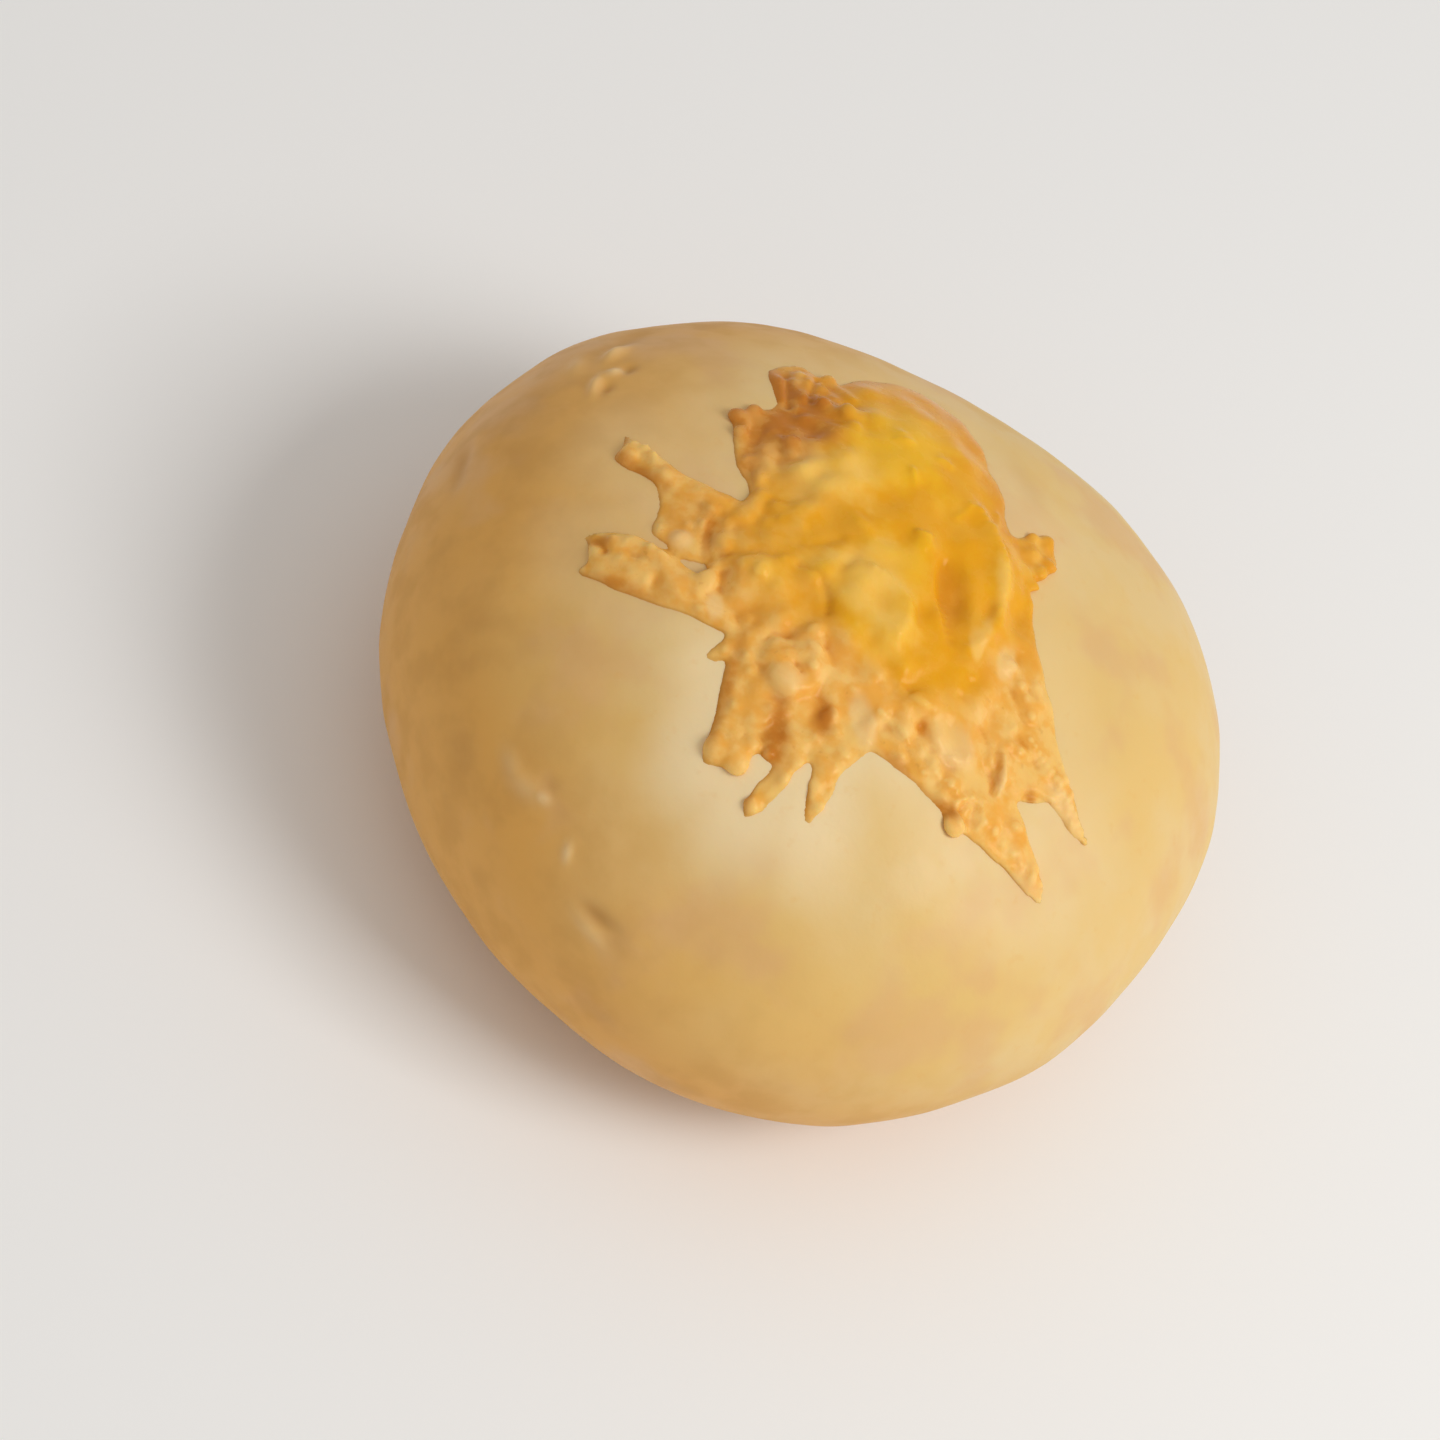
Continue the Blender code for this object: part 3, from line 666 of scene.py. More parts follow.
def cheese_material(mottle, skin_grain):
    """Oily melted cheese: deep yellow where it pooled, tan on the shreds, with orange painted shade in the
    crevices, a painted highlight on the knob tops and brown painted shade along the edges.
    """
    material = new_material("melted_cheese", roughness=0.34, subsurface=0.25, radius=(0.0011, 0.0006, 0.0002))
    n = Nodes(material.node_tree)
    n.shader.inputs["Specular IOR Level"].default_value = 0.15
    n.shader.inputs["Specular Tint"].default_value = (1.0, 0.84, 0.58, 1.0)
    cloud = n.group(mottle, size=0.006, low=0.36, high=0.64)
    grain = n.group(mottle, size=0.0026, low=0.36, high=0.66)
    scorch = n.group(mottle, size=0.0012, low=0.66, high=0.74)
    fine, broad = n.attribute("fine_relief"), n.attribute("broad_relief")
    yellow = n.attribute("pool")
    tan = n.math("SUBTRACT", 1.0, yellow)
    # How much painted shade the crevices take: less in the yellow pool
    crevice = n.ramp(yellow, low=0.2, to_low=1.0, to_high=0.22)
    depth = n.math("ADD", n.attribute("depth"), n.times(n.math("SUBTRACT", cloud, 0.5), 0.25))
    pool = n.layers(
        POOL_ORANGE,
        (n.ramp(depth, high=0.32), POOL_DEEP),
        (n.ramp(depth, low=0.45, high=0.90), POOL_LIGHT),
        (n.times(grain, 0.10), POOL_PALE),
    )
    rim = n.layers(
        RIM_TAN,
        (n.times(grain, 0.75), RIM_PALE),
        # Painted highlight: the tops of knobs are paler
        (n.ramp(fine, low=0.55, high=0.78, to_high=0.80), RIM_PALE),
    )
    pale = n.math("ADD", n.attribute("pale"), n.times(n.math("SUBTRACT", cloud, 0.5), 0.40))
    colour = n.layers(
        n.mix(yellow, rim, pool),
        # Painted shade: crevices and hollows are darker orange
        (n.times(crevice, n.ramp(broad, low=0.46, high=0.18, to_high=0.50)), CREVICE_SHADE),
        (n.times(crevice, n.ramp(fine, low=0.47, high=0.16, to_high=0.65)), CREVICE_SHADE),
        # Painted shade along the edges, most where they face away from the lamp
        (n.times(n.attribute("edge"), 0.60), SCORCH_AND_SHADE_BROWN),
        (n.times(n.times(scorch, tan), 0.25), SCORCH_AND_SHADE_BROWN),
        # Paler patches: partly paler cheese, partly a painted highlight on lit lumps and glints
        (n.ramp(pale, low=0.10, high=0.75, to_high=0.70), n.mix(yellow, CHEESE_PALE, POOL_PALE)),
        # Browner: partly baked, partly painted shade
        (n.times(n.attribute("baked"), n.ramp(grain, to_low=1.0, to_high=0.70)), CHEESE_BROWN_AND_SHADE),
    )
    n.put(n.shader.inputs["Base Color"], colour)
    n.put(n.shader.inputs["Roughness"], n.ramp(grain, to_low=0.18, to_high=0.32))
    depths = {"fine_depth": 0.00006, "broad_depth": 0.00012}
    n.put(n.shader.inputs["Normal"], n.group(skin_grain, fine_size=0.00075, broad_size=0.0022, **depths))
    return material


# Forms of the roll


def outline_radius(direction):
    return ROLL_RADIUS + sum(
        height * math.cos(lobes * (direction - math.radians(first)))
        for lobes, height, first in OUTLINE_WAVES
    )


def crust_height(x, y):
    share = min(math.hypot(x, y) / outline_radius(math.atan2(y, x)), 1.0)
    rise = (1.0 - share**CROWN_ROUNDNESS) ** (1.0 / CROWN_ROUNDNESS)
    return WIDEST_LINE + CROWN_RISE * rise


def crust_normal(x, y):
    step = SLOPE_STEP
    slope_x = (crust_height(x + step, y) - crust_height(x - step, y)) / (2 * step)
    slope_y = (crust_height(x, y + step) - crust_height(x, y - step)) / (2 * step)
    return Vector((-slope_x, -slope_y, 1.0)).normalized()


def skin_point(unit):
    """Place on the roll's skin of a point on the unit sphere."""
    across = math.hypot(unit.x, unit.y)
    drop, roundness = (CROWN_RISE, CROWN_ROUNDNESS) if unit.z >= 0 else (UNDERSIDE_DROP, UNDERSIDE_ROUNDNESS)
    reach = across ** (2.0 / roundness)
    rise = math.copysign(drop * abs(unit.z) ** (2.0 / roundness), unit.z)
    direction = math.atan2(unit.y, unit.x)
    radius = outline_radius(direction) * reach
    point = Vector((radius * math.cos(direction), radius * math.sin(direction), WIDEST_LINE + rise))
    return point + unit * SKIN_SWELL * noise.noise(point / SKIN_SWELL_SIZE)


def on_crust(x, y, height):
    return Vector((x, y, crust_height(x, y))) + crust_normal(x, y) * height


def polar(direction, reach):
    return Vector((math.cos(math.radians(direction)), math.sin(math.radians(direction)))) * reach


def bearing(place):
    """Direction of a place from the crown, in degrees."""
    return math.degrees(math.atan2(place[1], place[0]))


def degrees_off(direction, middle):
    """How far a direction lies off a middle one, from -180 to 180 degrees."""
    return (direction - middle + 180.0) % 360.0 - 180.0


def flat_noise(place, size):
    """Noise over the plane, in lumps about as large as size."""
    return noise.noise(Vector((place[0], place[1], 0.0)) / size)


def pool_reach(direction):
    reach = POOL_RADIUS
    for lobe, extra, half_width in POOL_LOBES:
        reach += extra * math.exp(-((degrees_off(direction, lobe) / half_width) ** 2))
    return reach + POOL_WAVER * flat_noise(polar(direction, reach), POOL_RELIEF_SIZE)


def pool_back(direction):
    """1 at the smooth back of the pool, 0 at its front and left rim."""
    middle, half_width = POOL_BACK
    return math.exp(-((degrees_off(direction, middle) / half_width) ** 4))


def soft_patches(patches, x, y):
    """Summed strength at a point of patches with soft shoulders."""
    total = 0.0
    for middle_x, middle_y, half_length, half_width, turn, strength in patches:
        off_x, off_y = x / MM - middle_x, y / MM - middle_y
        ahead, aside = math.cos(math.radians(turn)), math.sin(math.radians(turn))
        along = (off_x * ahead + off_y * aside) / half_length
        across = (off_y * ahead - off_x * aside) / half_width
        total = total + strength * np.exp(-((along**2 + across**2) ** 1.5))
    return total


def pool_depth(x, y):
    """Thickness of the pool over the crust at a point."""
    direction = bearing((x, y))
    share = math.hypot(x, y) / pool_reach(direction)
    back = pool_back(direction)
    edge = POOL_RIM_EDGE + (POOL_BACK_EDGE - POOL_RIM_EDGE) * back
    depth = edge + (POOL_THICKNESS - edge) * max(0.0, 1.0 - share ** (2.0 + 3.0 * back))
    depth += soft_patches(POOL_SWELLINGS, x, y) * MM
    depth += POOL_RELIEF * flat_noise((x, y), POOL_RELIEF_SIZE)
    return max(depth, POOL_RIM_EDGE)


def along_bend(root, middle, tip, share):
    """Place at a share of the way along a smooth bend from root to tip."""
    handle = middle * 2.0 - (root + tip) * 0.5
    return root * (1 - share) ** 2 + handle * 2 * share * (1 - share) + tip * share**2


def across_arm(left, right, share, across):
    """Place in an arm: a share of the way to its tip, and a share across from left to right."""
    return along_bend(*left, share).lerp(along_bend(*right, share), across)


def sideways(bend, share):
    ahead = along_bend(*bend, share + BEND_STEP) - along_bend(*bend, share - BEND_STEP)
    return Vector((-ahead.y, ahead.x)).normalized()


# Mesh helpers


def fine_ball(segments, rings):
    """A closed ball of fine, even faces as a bmesh: a coarse one with each face cut finer."""
    bm = bmesh.new()
    bmesh.ops.create_uvsphere(bm, u_segments=segments, v_segments=rings, radius=1.0)
    bmesh.ops.subdivide_edges(bm, edges=bm.edges[:], cuts=FINE_CUTS, use_grid_fill=True)
    for vert in bm.verts:
        vert.co.normalize()
    return bm


def gather(bm, other):
    """Adds the faces of another bmesh, which is used up."""
    mesh = bpy.data.meshes.new("gathered")
    other.to_mesh(mesh)
    other.free()
    bm.from_mesh(mesh)
    bpy.data.meshes.remove(mesh)


def in_scene(name, data):
    item = bpy.data.objects.new(name, data)
    bpy.context.scene.collection.objects.link(item)
    return item


def new_piece(name, bm, material):
    mesh = bpy.data.meshes.new(name)
    bm.to_mesh(mesh)
    bm.free()
    mesh.materials.append(material)
    mesh.shade_smooth()
    return in_scene(name, mesh)


def melt_together(piece, material, voxel, passes):
    """Melts a piece's overlapping bodies into one soft closed surface."""
    melt = piece.modifiers.new("melt", "REMESH")
    melt.mode = "VOXEL"
    melt.voxel_size = voxel
    soften = piece.modifiers.new("soften", "SMOOTH")
    soften.factor = 0.5
    soften.iterations = passes
    piece.data = finished_mesh(piece)
    piece.modifiers.clear()
    piece.data.shade_smooth()
    piece.data.materials.clear()
    piece.data.materials.append(material)


def finished_mesh(item):
    """An object's mesh with its modifiers or tubes worked out."""
    graph = bpy.context.evaluated_depsgraph_get()
    return bpy.data.meshes.new_from_object(item.evaluated_get(graph))


def rows(items, name):
    flat = np.empty(len(items) * 3, np.float32)
    items.foreach_get(name, flat)
    return flat.reshape(-1, 3).astype(float)


def places(mesh):
    return rows(mesh.vertices, "co")


def normals(mesh):
    return rows(mesh.vertex_normals, "vector")


def set_places(mesh, points):
    mesh.vertices.foreach_set("co", points.astype(np.float32).ravel())
    mesh.update()


def set_attributes(mesh, **shares):
    """Gives each point of a mesh its shares, from 0 to 1, under their names."""
    for name, values in shares.items():
        attribute = mesh.attributes.new(name, "FLOAT", "POINT")
        attribute.data.foreach_set("value", np.clip(values, 0.0, 1.0).astype(np.float32))


def surface_of(piece):
    """What finds the nearest point of a piece's surface."""
    return BVHTree.FromPolygons(
        [vert.co for vert in piece.data.vertices],
        [face.vertices for face in piece.data.polygons],
    )


def noise_at(points, size, shift=0.0):
    """Noise at each point, in lumps about as large as size."""
    apart = Vector((shift, 0.0, 0.0))
    return np.array([noise.noise(Vector(point) / size + apart) for point in points])


def smooth_step(values, low, high):
    share = np.clip((values - low) / (high - low), 0.0, 1.0)
    return share * share * (3.0 - 2.0 * share)


def spread(mesh, values, passes):
    """Rows of values, one for each point, averaged with their neighbours' a number of times."""
    ends = np.empty(len(mesh.edges) * 2, np.int32)
    mesh.edges.foreach_get("vertices", ends)
    a, b = ends.reshape(-1, 2).T
    count = len(mesh.vertices)
    links = np.maximum(np.bincount(ends, minlength=count), 1)
    for _ in range(passes):
        around = [
            np.bincount(a, column[b], count) + np.bincount(b, column[a], count)
            for column in values.T
        ]
        values = 0.5 * values + 0.5 * np.stack(around, axis=1) / links[:, None]
    return values


def relief_of(mesh, passes, full_height):
    """How each point stands to the smoothed surface round it: over 0.5 on a knob, under it in a crevice."""
    points = places(mesh)
    rise = ((points - spread(mesh, points, passes)) * normals(mesh)).sum(axis=1)
    return 0.5 + 0.5 * rise / full_height


# Baked crust


def cut_finer_at_marks(bm):
    """Cuts the ball's faces finer where a narrow mark will come."""
    for direction, share, _, half_width, *_ in CRUST_MARKS:
        if half_width * MM < FINE_MARK_WIDTH:
            across = polar(direction, share ** (CROWN_ROUNDNESS / 2))
            middle = Vector((*across, math.sqrt(1.0 - across.length_squared)))
            near = {vert for vert in bm.verts if (vert.co - middle).length < FINE_MARK_REACH}
            edges = [edge for edge in bm.edges if near.issuperset(edge.verts)]
            edges = [edge for edge in edges if edge.calc_length() > FINE_MARK_EDGE]
            bmesh.ops.subdivide_edges(bm, edges=edges, cuts=FINE_MARK_CUTS, use_grid_fill=True)
    many_sided = [face for face in bm.faces if len(face.verts) > 4]
    bmesh.ops.triangulate(bm, faces=many_sided)
    for vert in bm.verts:
        vert.co.normalize()


def mark_frame(direction, share, turn):
    """Place, and the long, short and outward axes, of a mark on the upper half of the crust."""
    place = polar(direction, share * outline_radius(math.radians(direction)))
    outward = crust_normal(place.x, place.y)
    around = Vector((-math.sin(math.radians(direction)), math.cos(math.radians(direction)), 0.0))
    spin = Matrix.Rotation(math.radians(turn), 3, outward)
    long_axis = spin @ around
    return on_crust(place.x, place.y, 0.0), long_axis, outward.cross(long_axis), outward


def add_crust_marks(points):
    """Dents and lips of the crust. Gives the points, and how dark and how pale each one is."""
    dark, pale = np.zeros(len(points)), np.zeros(len(points))
    for direction, share, half_length, half_width, turn, height, shade in CRUST_MARKS:
        place, long_axis, short_axis, outward = mark_frame(direction, share, turn)
        off = (points - np.array(place)) / MM
        along = off @ np.array(long_axis) / half_length
        across = off @ np.array(short_axis) / half_width
        weight = np.exp(-(along**2) - across**2)
        points = points + np.outer(weight * height * MM, np.array(outward))
        dark = np.maximum(dark, weight * shade)
        pale = np.maximum(pale, -weight * shade)
    return points, dark, pale


def crease_depth(points):
    """Fine creases round the foot of the roll."""
    height = points[:, 2]
    foot = smooth_step(-height, -CREASE_TOP, -CREASE_TOP * CREASE_FULL) * smooth_step(height, *CREASE_START)
    size, reach = CREASE_WANDER
    waves = np.sin(2.0 * math.pi * (height / CREASE_SPACING + reach * noise_at(points, size)))
    size, *come_and_go = CREASE_BREAKS
    return foot * waves * smooth_step(noise_at(points, size, 7.0), *come_and_go) * CREASE_DEPTH


def baked_crust(material):
    bm = fine_ball(CRUST_SEGMENTS, CRUST_RINGS)
    cut_finer_at_marks(bm)
    for vert in bm.verts:
        unit = vert.co.copy()
        point = skin_point(unit)
        for size, height in SKIN_LAYERS:
            point += unit * height * noise.noise(point / size)
        vert.co = point
    crust = new_piece("golden_crust", bm, material)

    points = places(crust.data)
    outward = normals(crust.data)
    points = points + outward * crease_depth(points)[:, None]
    points, dark, pale = add_crust_marks(points)
    points[:, 2] = 0.5 * (points[:, 2] + np.sqrt(points[:, 2] ** 2 + BASE_EDGE_ROUND**2))
    set_places(crust.data, points)
    # Dark: baked brown and painted shade in dents; pale: painted highlight on raised marks
    set_attributes(crust.data, mark=dark * BROWN_SHARE, lip=pale * PALE_SHARE)
    return crust


def bake_colours(crust, cheese):
    """How toasted each point of the crust is, partly as painted shade away from the lamp, and how near to the
    cheese it lies, for a painted highlight there.
    """
    points = places(crust.data)
    wander = noise_at(points, CRUST_WANDER_SIZE)
    # Paler towards the lamp's side and darker away from it: partly baked browning, partly painted shade
    pale = (points - np.array((0.0, 0.0, WIDEST_LINE))) @ np.array(PALE_AND_LIT_WAY) / ROLL_RADIUS
    toast = 1.0 - smooth_step(pale + TOAST_AND_SHADE_WANDER * wander, *PALE_AND_LIT_RANGE)
    # Painted highlight: the crust is paler near the cheese, most of all on one side
    cheese_surface = surface_of(cheese)
    near = [cheese_surface.find_nearest(Vector(point), HALO_LIMIT)[3] or HALO_LIMIT for point in points]
    halo = 1.0 - smooth_step(np.array(near) + HALO_WANDER * wander, *HALO_REACH)
    direction = np.degrees(np.arctan2(points[:, 1], points[:, 0]))
    front = 1.0 - smooth_step(np.abs(degrees_off(direction, HALO_SIDE)), *HALO_SIDE_FADE)
    halo *= HALO_ELSEWHERE + (1.0 - HALO_ELSEWHERE) * front
    set_attributes(crust.data, toast=toast, halo=halo)


# Melted cheese


def rim_relief(place):
    """Height of the soft lumps on the pool's rim."""
    direction = bearing(place)
    start, full = RIM_RELIEF_FROM
    share = (place.length / pool_reach(direction) - start) / (full - start)
    height, size = RIM_RELIEF
    fade = min(max(share, 0.0), 1.0) * (1.0 - pool_back(direction))
    return height * fade * flat_noise(place, size)


def pool_ball():
    """The pool, as a flattened ball whose upper half follows its depth."""
    bm = fine_ball(POOL_SEGMENTS, POOL_RINGS)
    for vert in bm.verts:
        unit = vert.co.copy()
        direction = bearing(unit)
        place = polar(direction, pool_reach(direction) * math.hypot(unit.x, unit.y))
        height = POOL_SINK * unit.z
        if unit.z > 0:
            full_height = pool_depth(*place) + soft_patches(POOL_LUMPS, *place) * MM + rim_relief(place)
            height = full_height * math.sqrt(unit.z)
        vert.co = on_crust(*place, height)
    return bm


def add_shred(curve, draw, bend, width, taper=0.0, lift=0.0):
    """A melted shred: a tube that swells and strays softly along a bend, part sunk in what it lies on."""
    root, middle, tip = bend
    length = (middle - root).length + (tip - middle).length
    steps = max(4, round(length / SHRED_STEP))
    own = draw.uniform(0.0, 100.0)
    spline = curve.splines.new("POLY")
    spline.points.add(steps)
    for i, point in enumerate(spline.points):
        share = i / steps
        swell = noise.noise(Vector((own, share * length / SHRED_SWELL_LENGTH, 0.0)))
        stray = noise.noise(Vector((own, share * length / SHRED_STRAY_LENGTH, 9.0)))
        wide = width * (1.0 - taper * share) * (1.0 + SHRED_SWELL * 2.0 * swell)
        place = along_bend(*bend, share) + sideways(bend, share) * wide * SHRED_STRAY * stray
        if i in (0, steps):
            wide *= SHRED_END
        height = rim_lift(place) + lift + wide * 0.5 * SHRED_LIFT
        point.co = (*on_crust(place.x, place.y, height), 1.0)
        point.radius = wide * 0.5 / BEVEL_UNIT


def add_knob(bm, draw, place, width, lift):
    """A round knob of cheese, a little longer one way."""
    outward = crust_normal(place.x, place.y)
    ahead = Matrix.Rotation(draw.uniform(0.0, math.pi), 3, outward) @ outward.orthogonal().normalized()
    half = width * 0.5
    long_half = half * (1.0 + draw.uniform(*KNOB_STRETCH))
    axes = Matrix((ahead * long_half, outward.cross(ahead) * half, outward * half * KNOB_HEIGHT))
    middle = Matrix.Translation(on_crust(place.x, place.y, lift + width * KNOB_LIFT))
    matrix = middle @ axes.transposed().to_4x4()
    bmesh.ops.create_icosphere(bm, subdivisions=3, radius=1.0, matrix=matrix)


def in_metres(bend):
    return [Vector(place) * MM for place in bend]


def add_ribs(curve, draw, left, right, rib_width, between):
    """The ribs of an arm: one just inside each edge, and some in between that start and end short."""

    def rib_place(across, share):
        room = (along_bend(*right, share) - along_bend(*left, share)).length
        inset = min(0.5, rib_width * 0.5 / max(room, rib_width))
        return across_arm(left, right, share, inset + (1 - 2 * inset) * across)

    for i in range(between + 2):
        across = i / (between + 1)
        start, end = 0.0, 1.0
        if 0.0 < across < 1.0:
            across += draw.uniform(-RIB_STRAY, RIB_STRAY) / (between + 1)
            start, end = draw.uniform(*RIB_STARTS), draw.uniform(*RIB_ENDS)
        bend = [rib_place(across, share) for share in (start, (start + end) / 2, end)]
        add_shred(curve, draw, bend, rib_width * draw.uniform(*RIB_WIDTHS), taper=RIB_TAPER)


def add_film(bm, left, right, height, length_share):
    """The thin film of melted cheese that fills an arm between its ribs."""
    sizes = {"u_segments": FILM_SEGMENTS, "v_segments": FILM_RINGS, "radius": 1.0}
    for vert in bmesh.ops.create_uvsphere(bm, **sizes)["verts"]:
        unit = vert.co.normalized()
        flat = Vector((unit.x, unit.y))
        square = flat * flat.length / max(abs(flat.x), abs(flat.y), 1e-6)
        share = (0.5 + 0.5 * square.x) * length_share
        across = 0.5 + 0.5 * FILM_REACH * square.y
        place = across_arm(left, right, share, across)
        swell = 1.0 + FILM_RELIEF * flat_noise(place, FILM_RELIEF_SIZE)
        rise = height * swell * unit.z**FILM_FULLNESS if unit.z > 0 else FILM_SINK * unit.z
        at = place / FILM_WAVER_SIZE
        place += Vector([noise.noise(Vector((*at, slice))) for slice in FILM_WAVER_SLICES]) * FILM_WAVER
        vert.co = on_crust(place.x, place.y, rise)


def arm_beads(draw, left, right, height):
    """Small beads on an arm, as their places, widths and lifts."""
    area = (left[2] - left[0]).length * (left[1] - right[1]).length
    for _ in range(round(area / BEAD_AREA)):
        share, across = draw.uniform(*BEAD_ALONG), draw.uniform(*BEAD_ACROSS)
        yield across_arm(left, right, share, across), draw.uniform(*BEAD_WIDTHS), height * BEAD_LIFT


def rim_lift(place):
    """How high what lies at a place is lifted by the pool under it."""
    if place.length > pool_reach(bearing(place)):
        return 0.0
    return (pool_depth(*place) - POOL_RIM_EDGE) * RIM_LIFT


def add_rim_shreds(curve, draw):
    """Short shreds on the rim. Gives the places, widths and lifts of the small knobs that they carry."""
    knobs = []
    for _ in range(RIM_SHREDS):
        direction = draw.uniform(RIM_FROM, RIM_TO)
        middle = polar(direction, pool_reach(direction) * draw.uniform(*RIM_BAND))
        heading = math.radians(direction) + draw.gauss(0.0, RIM_SCATTER)
        half = Vector((math.cos(heading), math.sin(heading))) * draw.uniform(*RIM_LENGTHS) * 0.5
        bend = Vector((-half.y, half.x)) * draw.uniform(-RIM_BEND, RIM_BEND)
        width = draw.uniform(*RIM_WIDTHS)
        ends = middle - half, middle + bend, middle + half
        add_shred(curve, draw, ends, width, lift=RIM_SHRED_LIFT * width)
        if draw.random() < KNOB_SHARE:
            lift = rim_lift(middle) + width * SMALL_KNOB_LIFT
            knobs.append((middle + bend, draw.uniform(*SMALL_KNOBS), lift))
    return knobs


def new_tubes(name):
    """A curve whose splines become round tubes with closed ends."""
    curve = bpy.data.curves.new(name, "CURVE")
    curve.dimensions = "3D"
    curve.bevel_depth = BEVEL_UNIT
    curve.bevel_resolution = 3
    curve.use_fill_caps = True
    return curve


def tubes_as_bmesh(curve):
    tubes = in_scene(curve.name, curve)
    bm = bmesh.new()
    bm.from_mesh(finished_mesh(tubes))
    bpy.data.objects.remove(tubes)
    bmesh.ops.remove_doubles(bm, verts=bm.verts[:], dist=0.00001)
    return bm


def cheese_bodies():
    """All that melts together into the cheese, as one bmesh of closed bodies."""
    draw = random.Random(SHRED_SEED)
    curve = new_tubes("shreds")
    bm = bmesh.new()
    knobs = []
    for left, right, rib_width, between, film_height, length_share in ARMS.values():
        edges = in_metres(left), in_metres(right)
        add_ribs(curve, draw, *edges, rib_width * MM, between)
        add_film(bm, *edges, film_height * MM, length_share)
        knobs += arm_beads(draw, *edges, film_height * MM)
    for *bend, width in STRANDS.values():
        add_shred(curve, draw, in_metres(bend), width * MM)
    knobs += add_rim_shreds(curve, draw)
    for x, y, width in KNOBS:
        place = Vector((x, y)) * MM
        knobs.append((place, width * MM, max(rim_lift(place), ARM_KNOB_LIFT)))
    for place, width, lift in knobs:
        add_knob(bm, draw, place, width, lift)
    gather(bm, tubes_as_bmesh(curve))
    gather(bm, pool_ball())
    return bm


def fold(cheese):
    """Raises the folds and presses in the seams of the melted surface."""
    points = places(cheese.data)
    rise = np.zeros(len(points))
    for *bend, half_width, height in FOLDS:
        bend = in_metres(bend)
        off = np.full(len(points), np.inf)
        for i in range(FOLD_STEPS + 1):
            place = along_bend(*bend, i / FOLD_STEPS)
            off = np.minimum(off, np.hypot(points[:, 0] - place.x, points[:, 1] - place.y))
        rise += height * MM * np.exp(-((off / (half_width * MM)) ** 2))
    outward = normals(cheese.data)
    rise *= smooth_step(outward[:, 2], *FOLD_FADE)
    thickness = points[:, 2] - np.array([crust_height(x, y) for x, y, _ in points])
    rise = np.maximum(rise, -SEAM_SHARE * np.maximum(thickness, 0.0))
    set_places(cheese.data, points + outward * rise[:, None])


def seat_on(cheese, crust):
    """Thins the melt out into the crust and lifts its underside to just inside it. Gives the heights."""
    crust_surface = surface_of(crust)
    heights = np.zeros(len(cheese.data.vertices))
    for i, vert in enumerate(cheese.data.vertices):
        place, outward, _, _ = crust_surface.find_nearest(vert.co)
        heights[i] = (vert.co - place).dot(outward)
        if heights[i] < -SUNK_UNDERSIDE:
            vert.co = place - outward * SUNK_UNDERSIDE
        elif heights[i] > 0.0:
            vert.co -= outward * EDGE_MELT * heights[i] / (heights[i] + EDGE_MELT)
    cheese.data.update()
    return heights


def cheese_colours(cheese, heights, fine_relief, broad_relief):
    """What each point's colour follows: how deep it is, how brown from baking and painted shade, and how near
    to an edge it is.
    """
    points = places(cheese.data)
    across, ahead = points[:, 0], points[:, 1]
    wander = noise_at(points, CHEESE_WANDER_SIZE)
    yellow = soft_patches(YELLOW_PATCHES, across, ahead) + YELLOW_WANDER * wander
    # Edges take painted shade, most where they face away from the lamp
    edge = spread(cheese.data, (heights < EDGE_HEIGHT).astype(float)[:, None], EDGE_SPREAD)[:, 0]
    facing = normals(cheese.data)[:, :2] @ np.array(polar(SHADED_EDGE_SIDE, 1.0))
    off = np.hypot(across - BAKED_AND_SHADED_SPOT[0], ahead - BAKED_AND_SHADED_SPOT[1])
    around = 1.0 - smooth_step(off + BAKED_AND_SHADED_WANDER * wander, *BAKED_AND_SHADED_RANGE)
    set_attributes(
        cheese.data,
        pool=smooth_step(yellow, *YELLOW_SOFTNESS),
        edge=smooth_step(edge, *EDGE_SHARES) * smooth_step(facing, *SHADED_EDGE_RANGE),
        depth=(heights - DEPTHS[0]) / (DEPTHS[1] - DEPTHS[0]),
        fine_relief=fine_relief,
        broad_relief=broad_relief,
        baked=np.maximum(around, soft_patches(BROWN_AND_SHADE_SPOTS, across, ahead)),
        pale=soft_patches(PALE_AND_LIT_SPOTS, across, ahead),
    )


def melted_cheese(material, crust):
    cheese = new_piece("cheese_melt", cheese_bodies(), material)
    melt_together(cheese, material, MELT_VOXEL, SMOOTHING_PASSES)
    fold(cheese)
    reliefs = [relief_of(cheese.data, *kind) for kind in (FINE_RELIEF, BROAD_RELIEF)]
    cheese_colours(cheese, seat_on(cheese, crust), *reliefs)
    return cheese


# Stage


def camera_axes():
    """Right, up and back of the camera in the roll's frame."""
    elevation, roll = math.radians(CAMERA_ELEVATION), math.radians(CAMERA_ROLL)
    level_right = Vector((1.0, 0.0, 0.0))
    level_up = Vector((0.0, math.sin(elevation), math.cos(elevation)))
    back = Vector((0.0, -math.cos(elevation), math.sin(elevation)))
    right = level_right * math.cos(roll) + level_up * math.sin(roll)
    up = level_up * math.cos(roll) - level_right * math.sin(roll)
    return right, up, back


def set_camera(aim):
    right, up, back = camera_axes()
    camera = bpy.data.cameras.new("camera")
    camera.lens = CAMERA_LENS
    camera.sensor_width = 36.0
    camera.shift_x = (PHOTO_SIZE / 2 - ROLL_PIXEL[0]) / PHOTO_SIZE
    camera.shift_y = (ROLL_PIXEL[1] - PHOTO_SIZE / 2) / PHOTO_SIZE
    camera.clip_start = 0.01
    turn = Matrix((right, up, back)).transposed().to_4x4()
    place = Matrix.Translation(aim + back * CAMERA_DISTANCE)
    bpy.context.scene.camera = in_scene("camera", camera)
    bpy.context.scene.camera.matrix_world = place @ turn


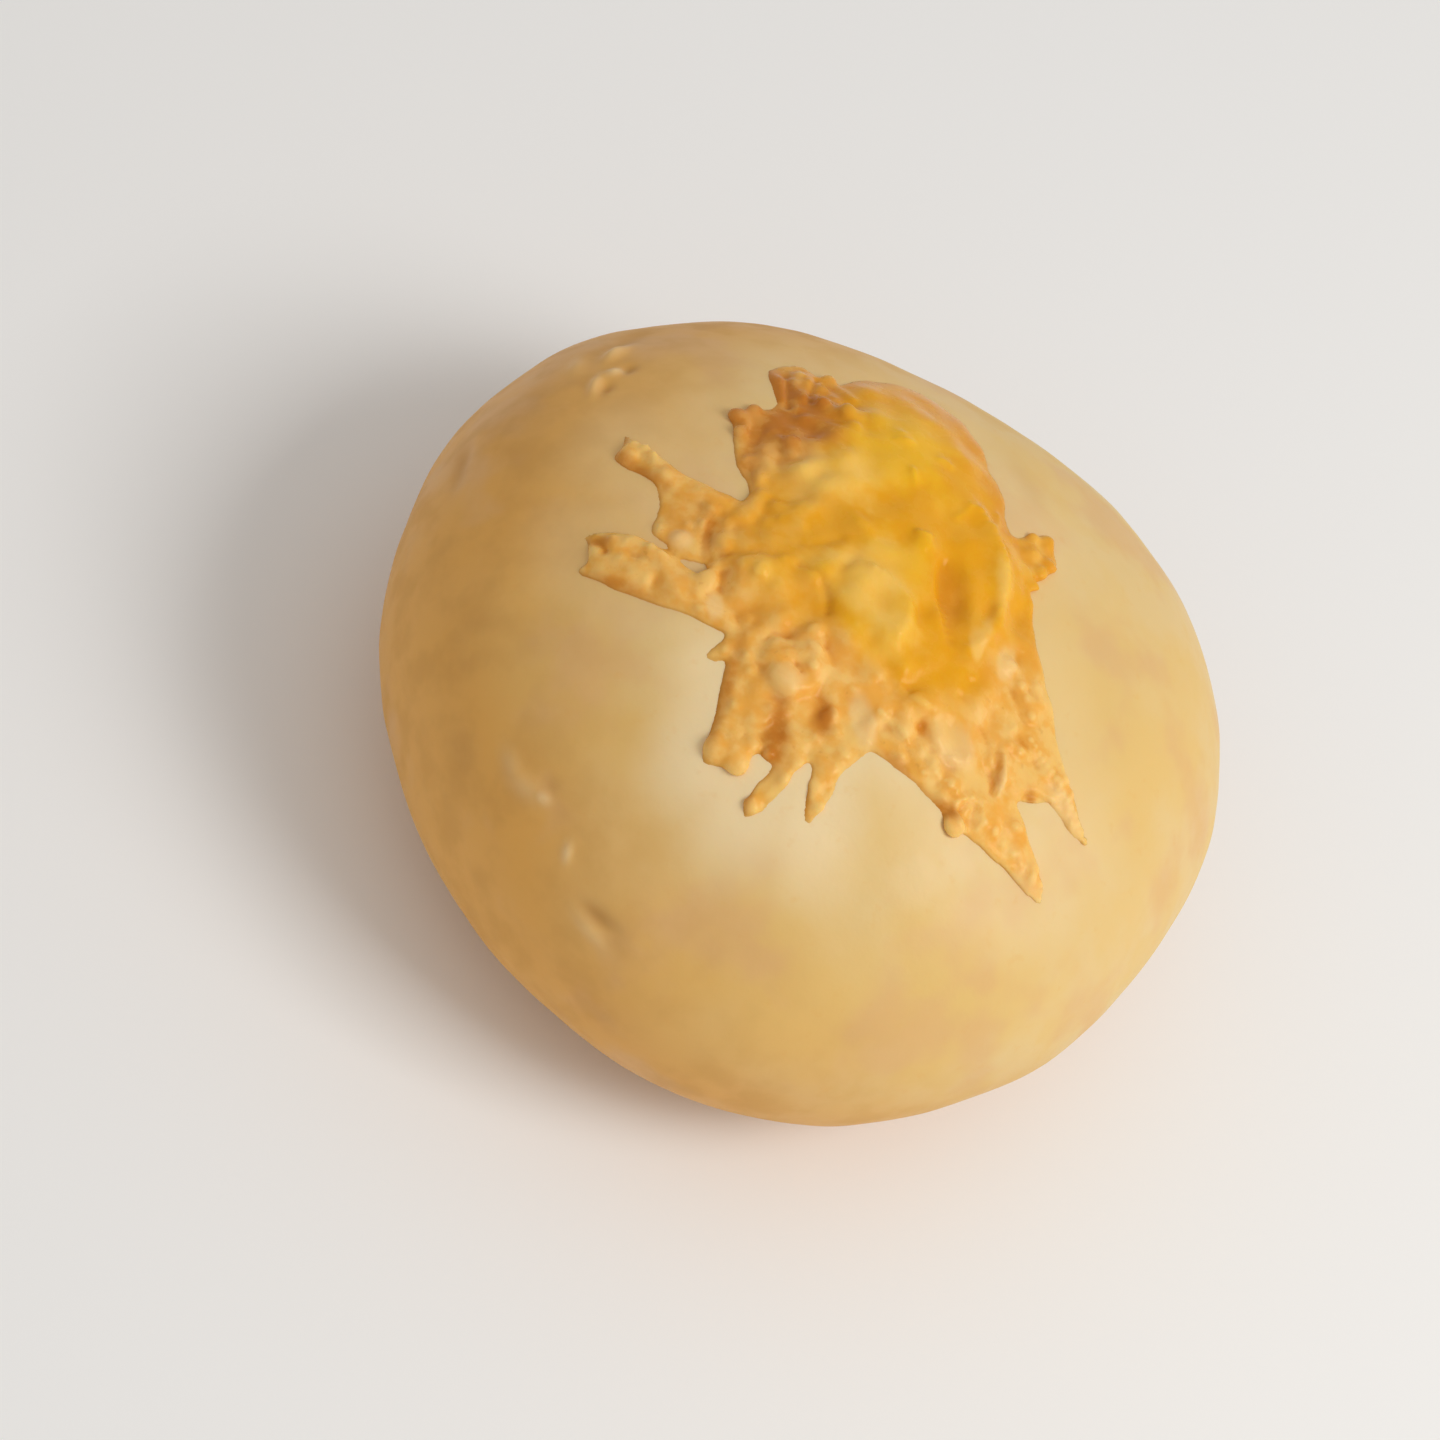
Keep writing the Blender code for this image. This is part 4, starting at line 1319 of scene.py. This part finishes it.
def set_lamp():
    """One large soft lamp on the camera's right."""
    right, _, back = camera_axes()
    place = (right * LAMP_WAY[0] + back * LAMP_WAY[1]).normalized() * LAMP_DISTANCE
    lamp = bpy.data.lights.new("key", "AREA")
    lamp.energy = 3.8
    lamp.size = 0.4
    lamp.color = (1.0, 0.985, 0.96)
    turn = place.to_track_quat("Z", "Y").to_matrix().to_4x4()
    in_scene("key", lamp).matrix_world = Matrix.Translation(place) @ turn


def set_stage():
    """Pale floor and plain, even light from all round."""
    floor_finish = bpy.data.materials.new("pale_floor")
    floor_finish.use_nodes = True
    shader = floor_finish.node_tree.nodes["Principled BSDF"]
    shader.inputs["Base Color"].default_value = (0.93, 0.93, 0.93, 1.0)
    shader.inputs["Roughness"].default_value = 0.8
    bm = bmesh.new()
    bmesh.ops.create_grid(bm, x_segments=1, y_segments=1, size=1.5)
    floor = new_piece("floor", bm, floor_finish)

    world = bpy.data.worlds.new("room")
    world.use_nodes = True
    sky = world.node_tree.nodes["Background"]
    sky.inputs["Color"].default_value = (1.0, 0.975, 0.94, 1.0)
    sky.inputs["Strength"].default_value = 0.52
    bpy.context.scene.world = world
    bpy.context.scene.view_settings.view_transform = "Standard"


def way_home(crust):
    """How far the pieces move, because the forms are made round the crown and the solid round its box."""
    points = places(crust.data)
    middle = (points.min(axis=0) + points.max(axis=0)) / 2
    home = (ROLL_BOX[0] + ROLL_BOX[1]) / 2
    return Vector((home.x - middle[0], home.y - middle[1], 0.0))


def main():
    mottle, skin_grain = mottle_group(), skin_grain_group()
    crust_finish = crust_material(mottle, skin_grain)
    crust = baked_crust(crust_finish)
    cheese = melted_cheese(cheese_material(mottle, skin_grain), crust)
    bake_colours(crust, cheese)

    to_home = way_home(crust)
    for piece in (crust, cheese):
        piece.data.transform(Matrix.Translation(to_home))

    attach(crust, "root")
    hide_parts("bread_roll")
    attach(cheese, "root")
    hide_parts("melted_cheese")
    set_camera(Vector((0.0, 0.0, WIDEST_LINE)) + to_home)
    set_lamp()
    set_stage()


main()
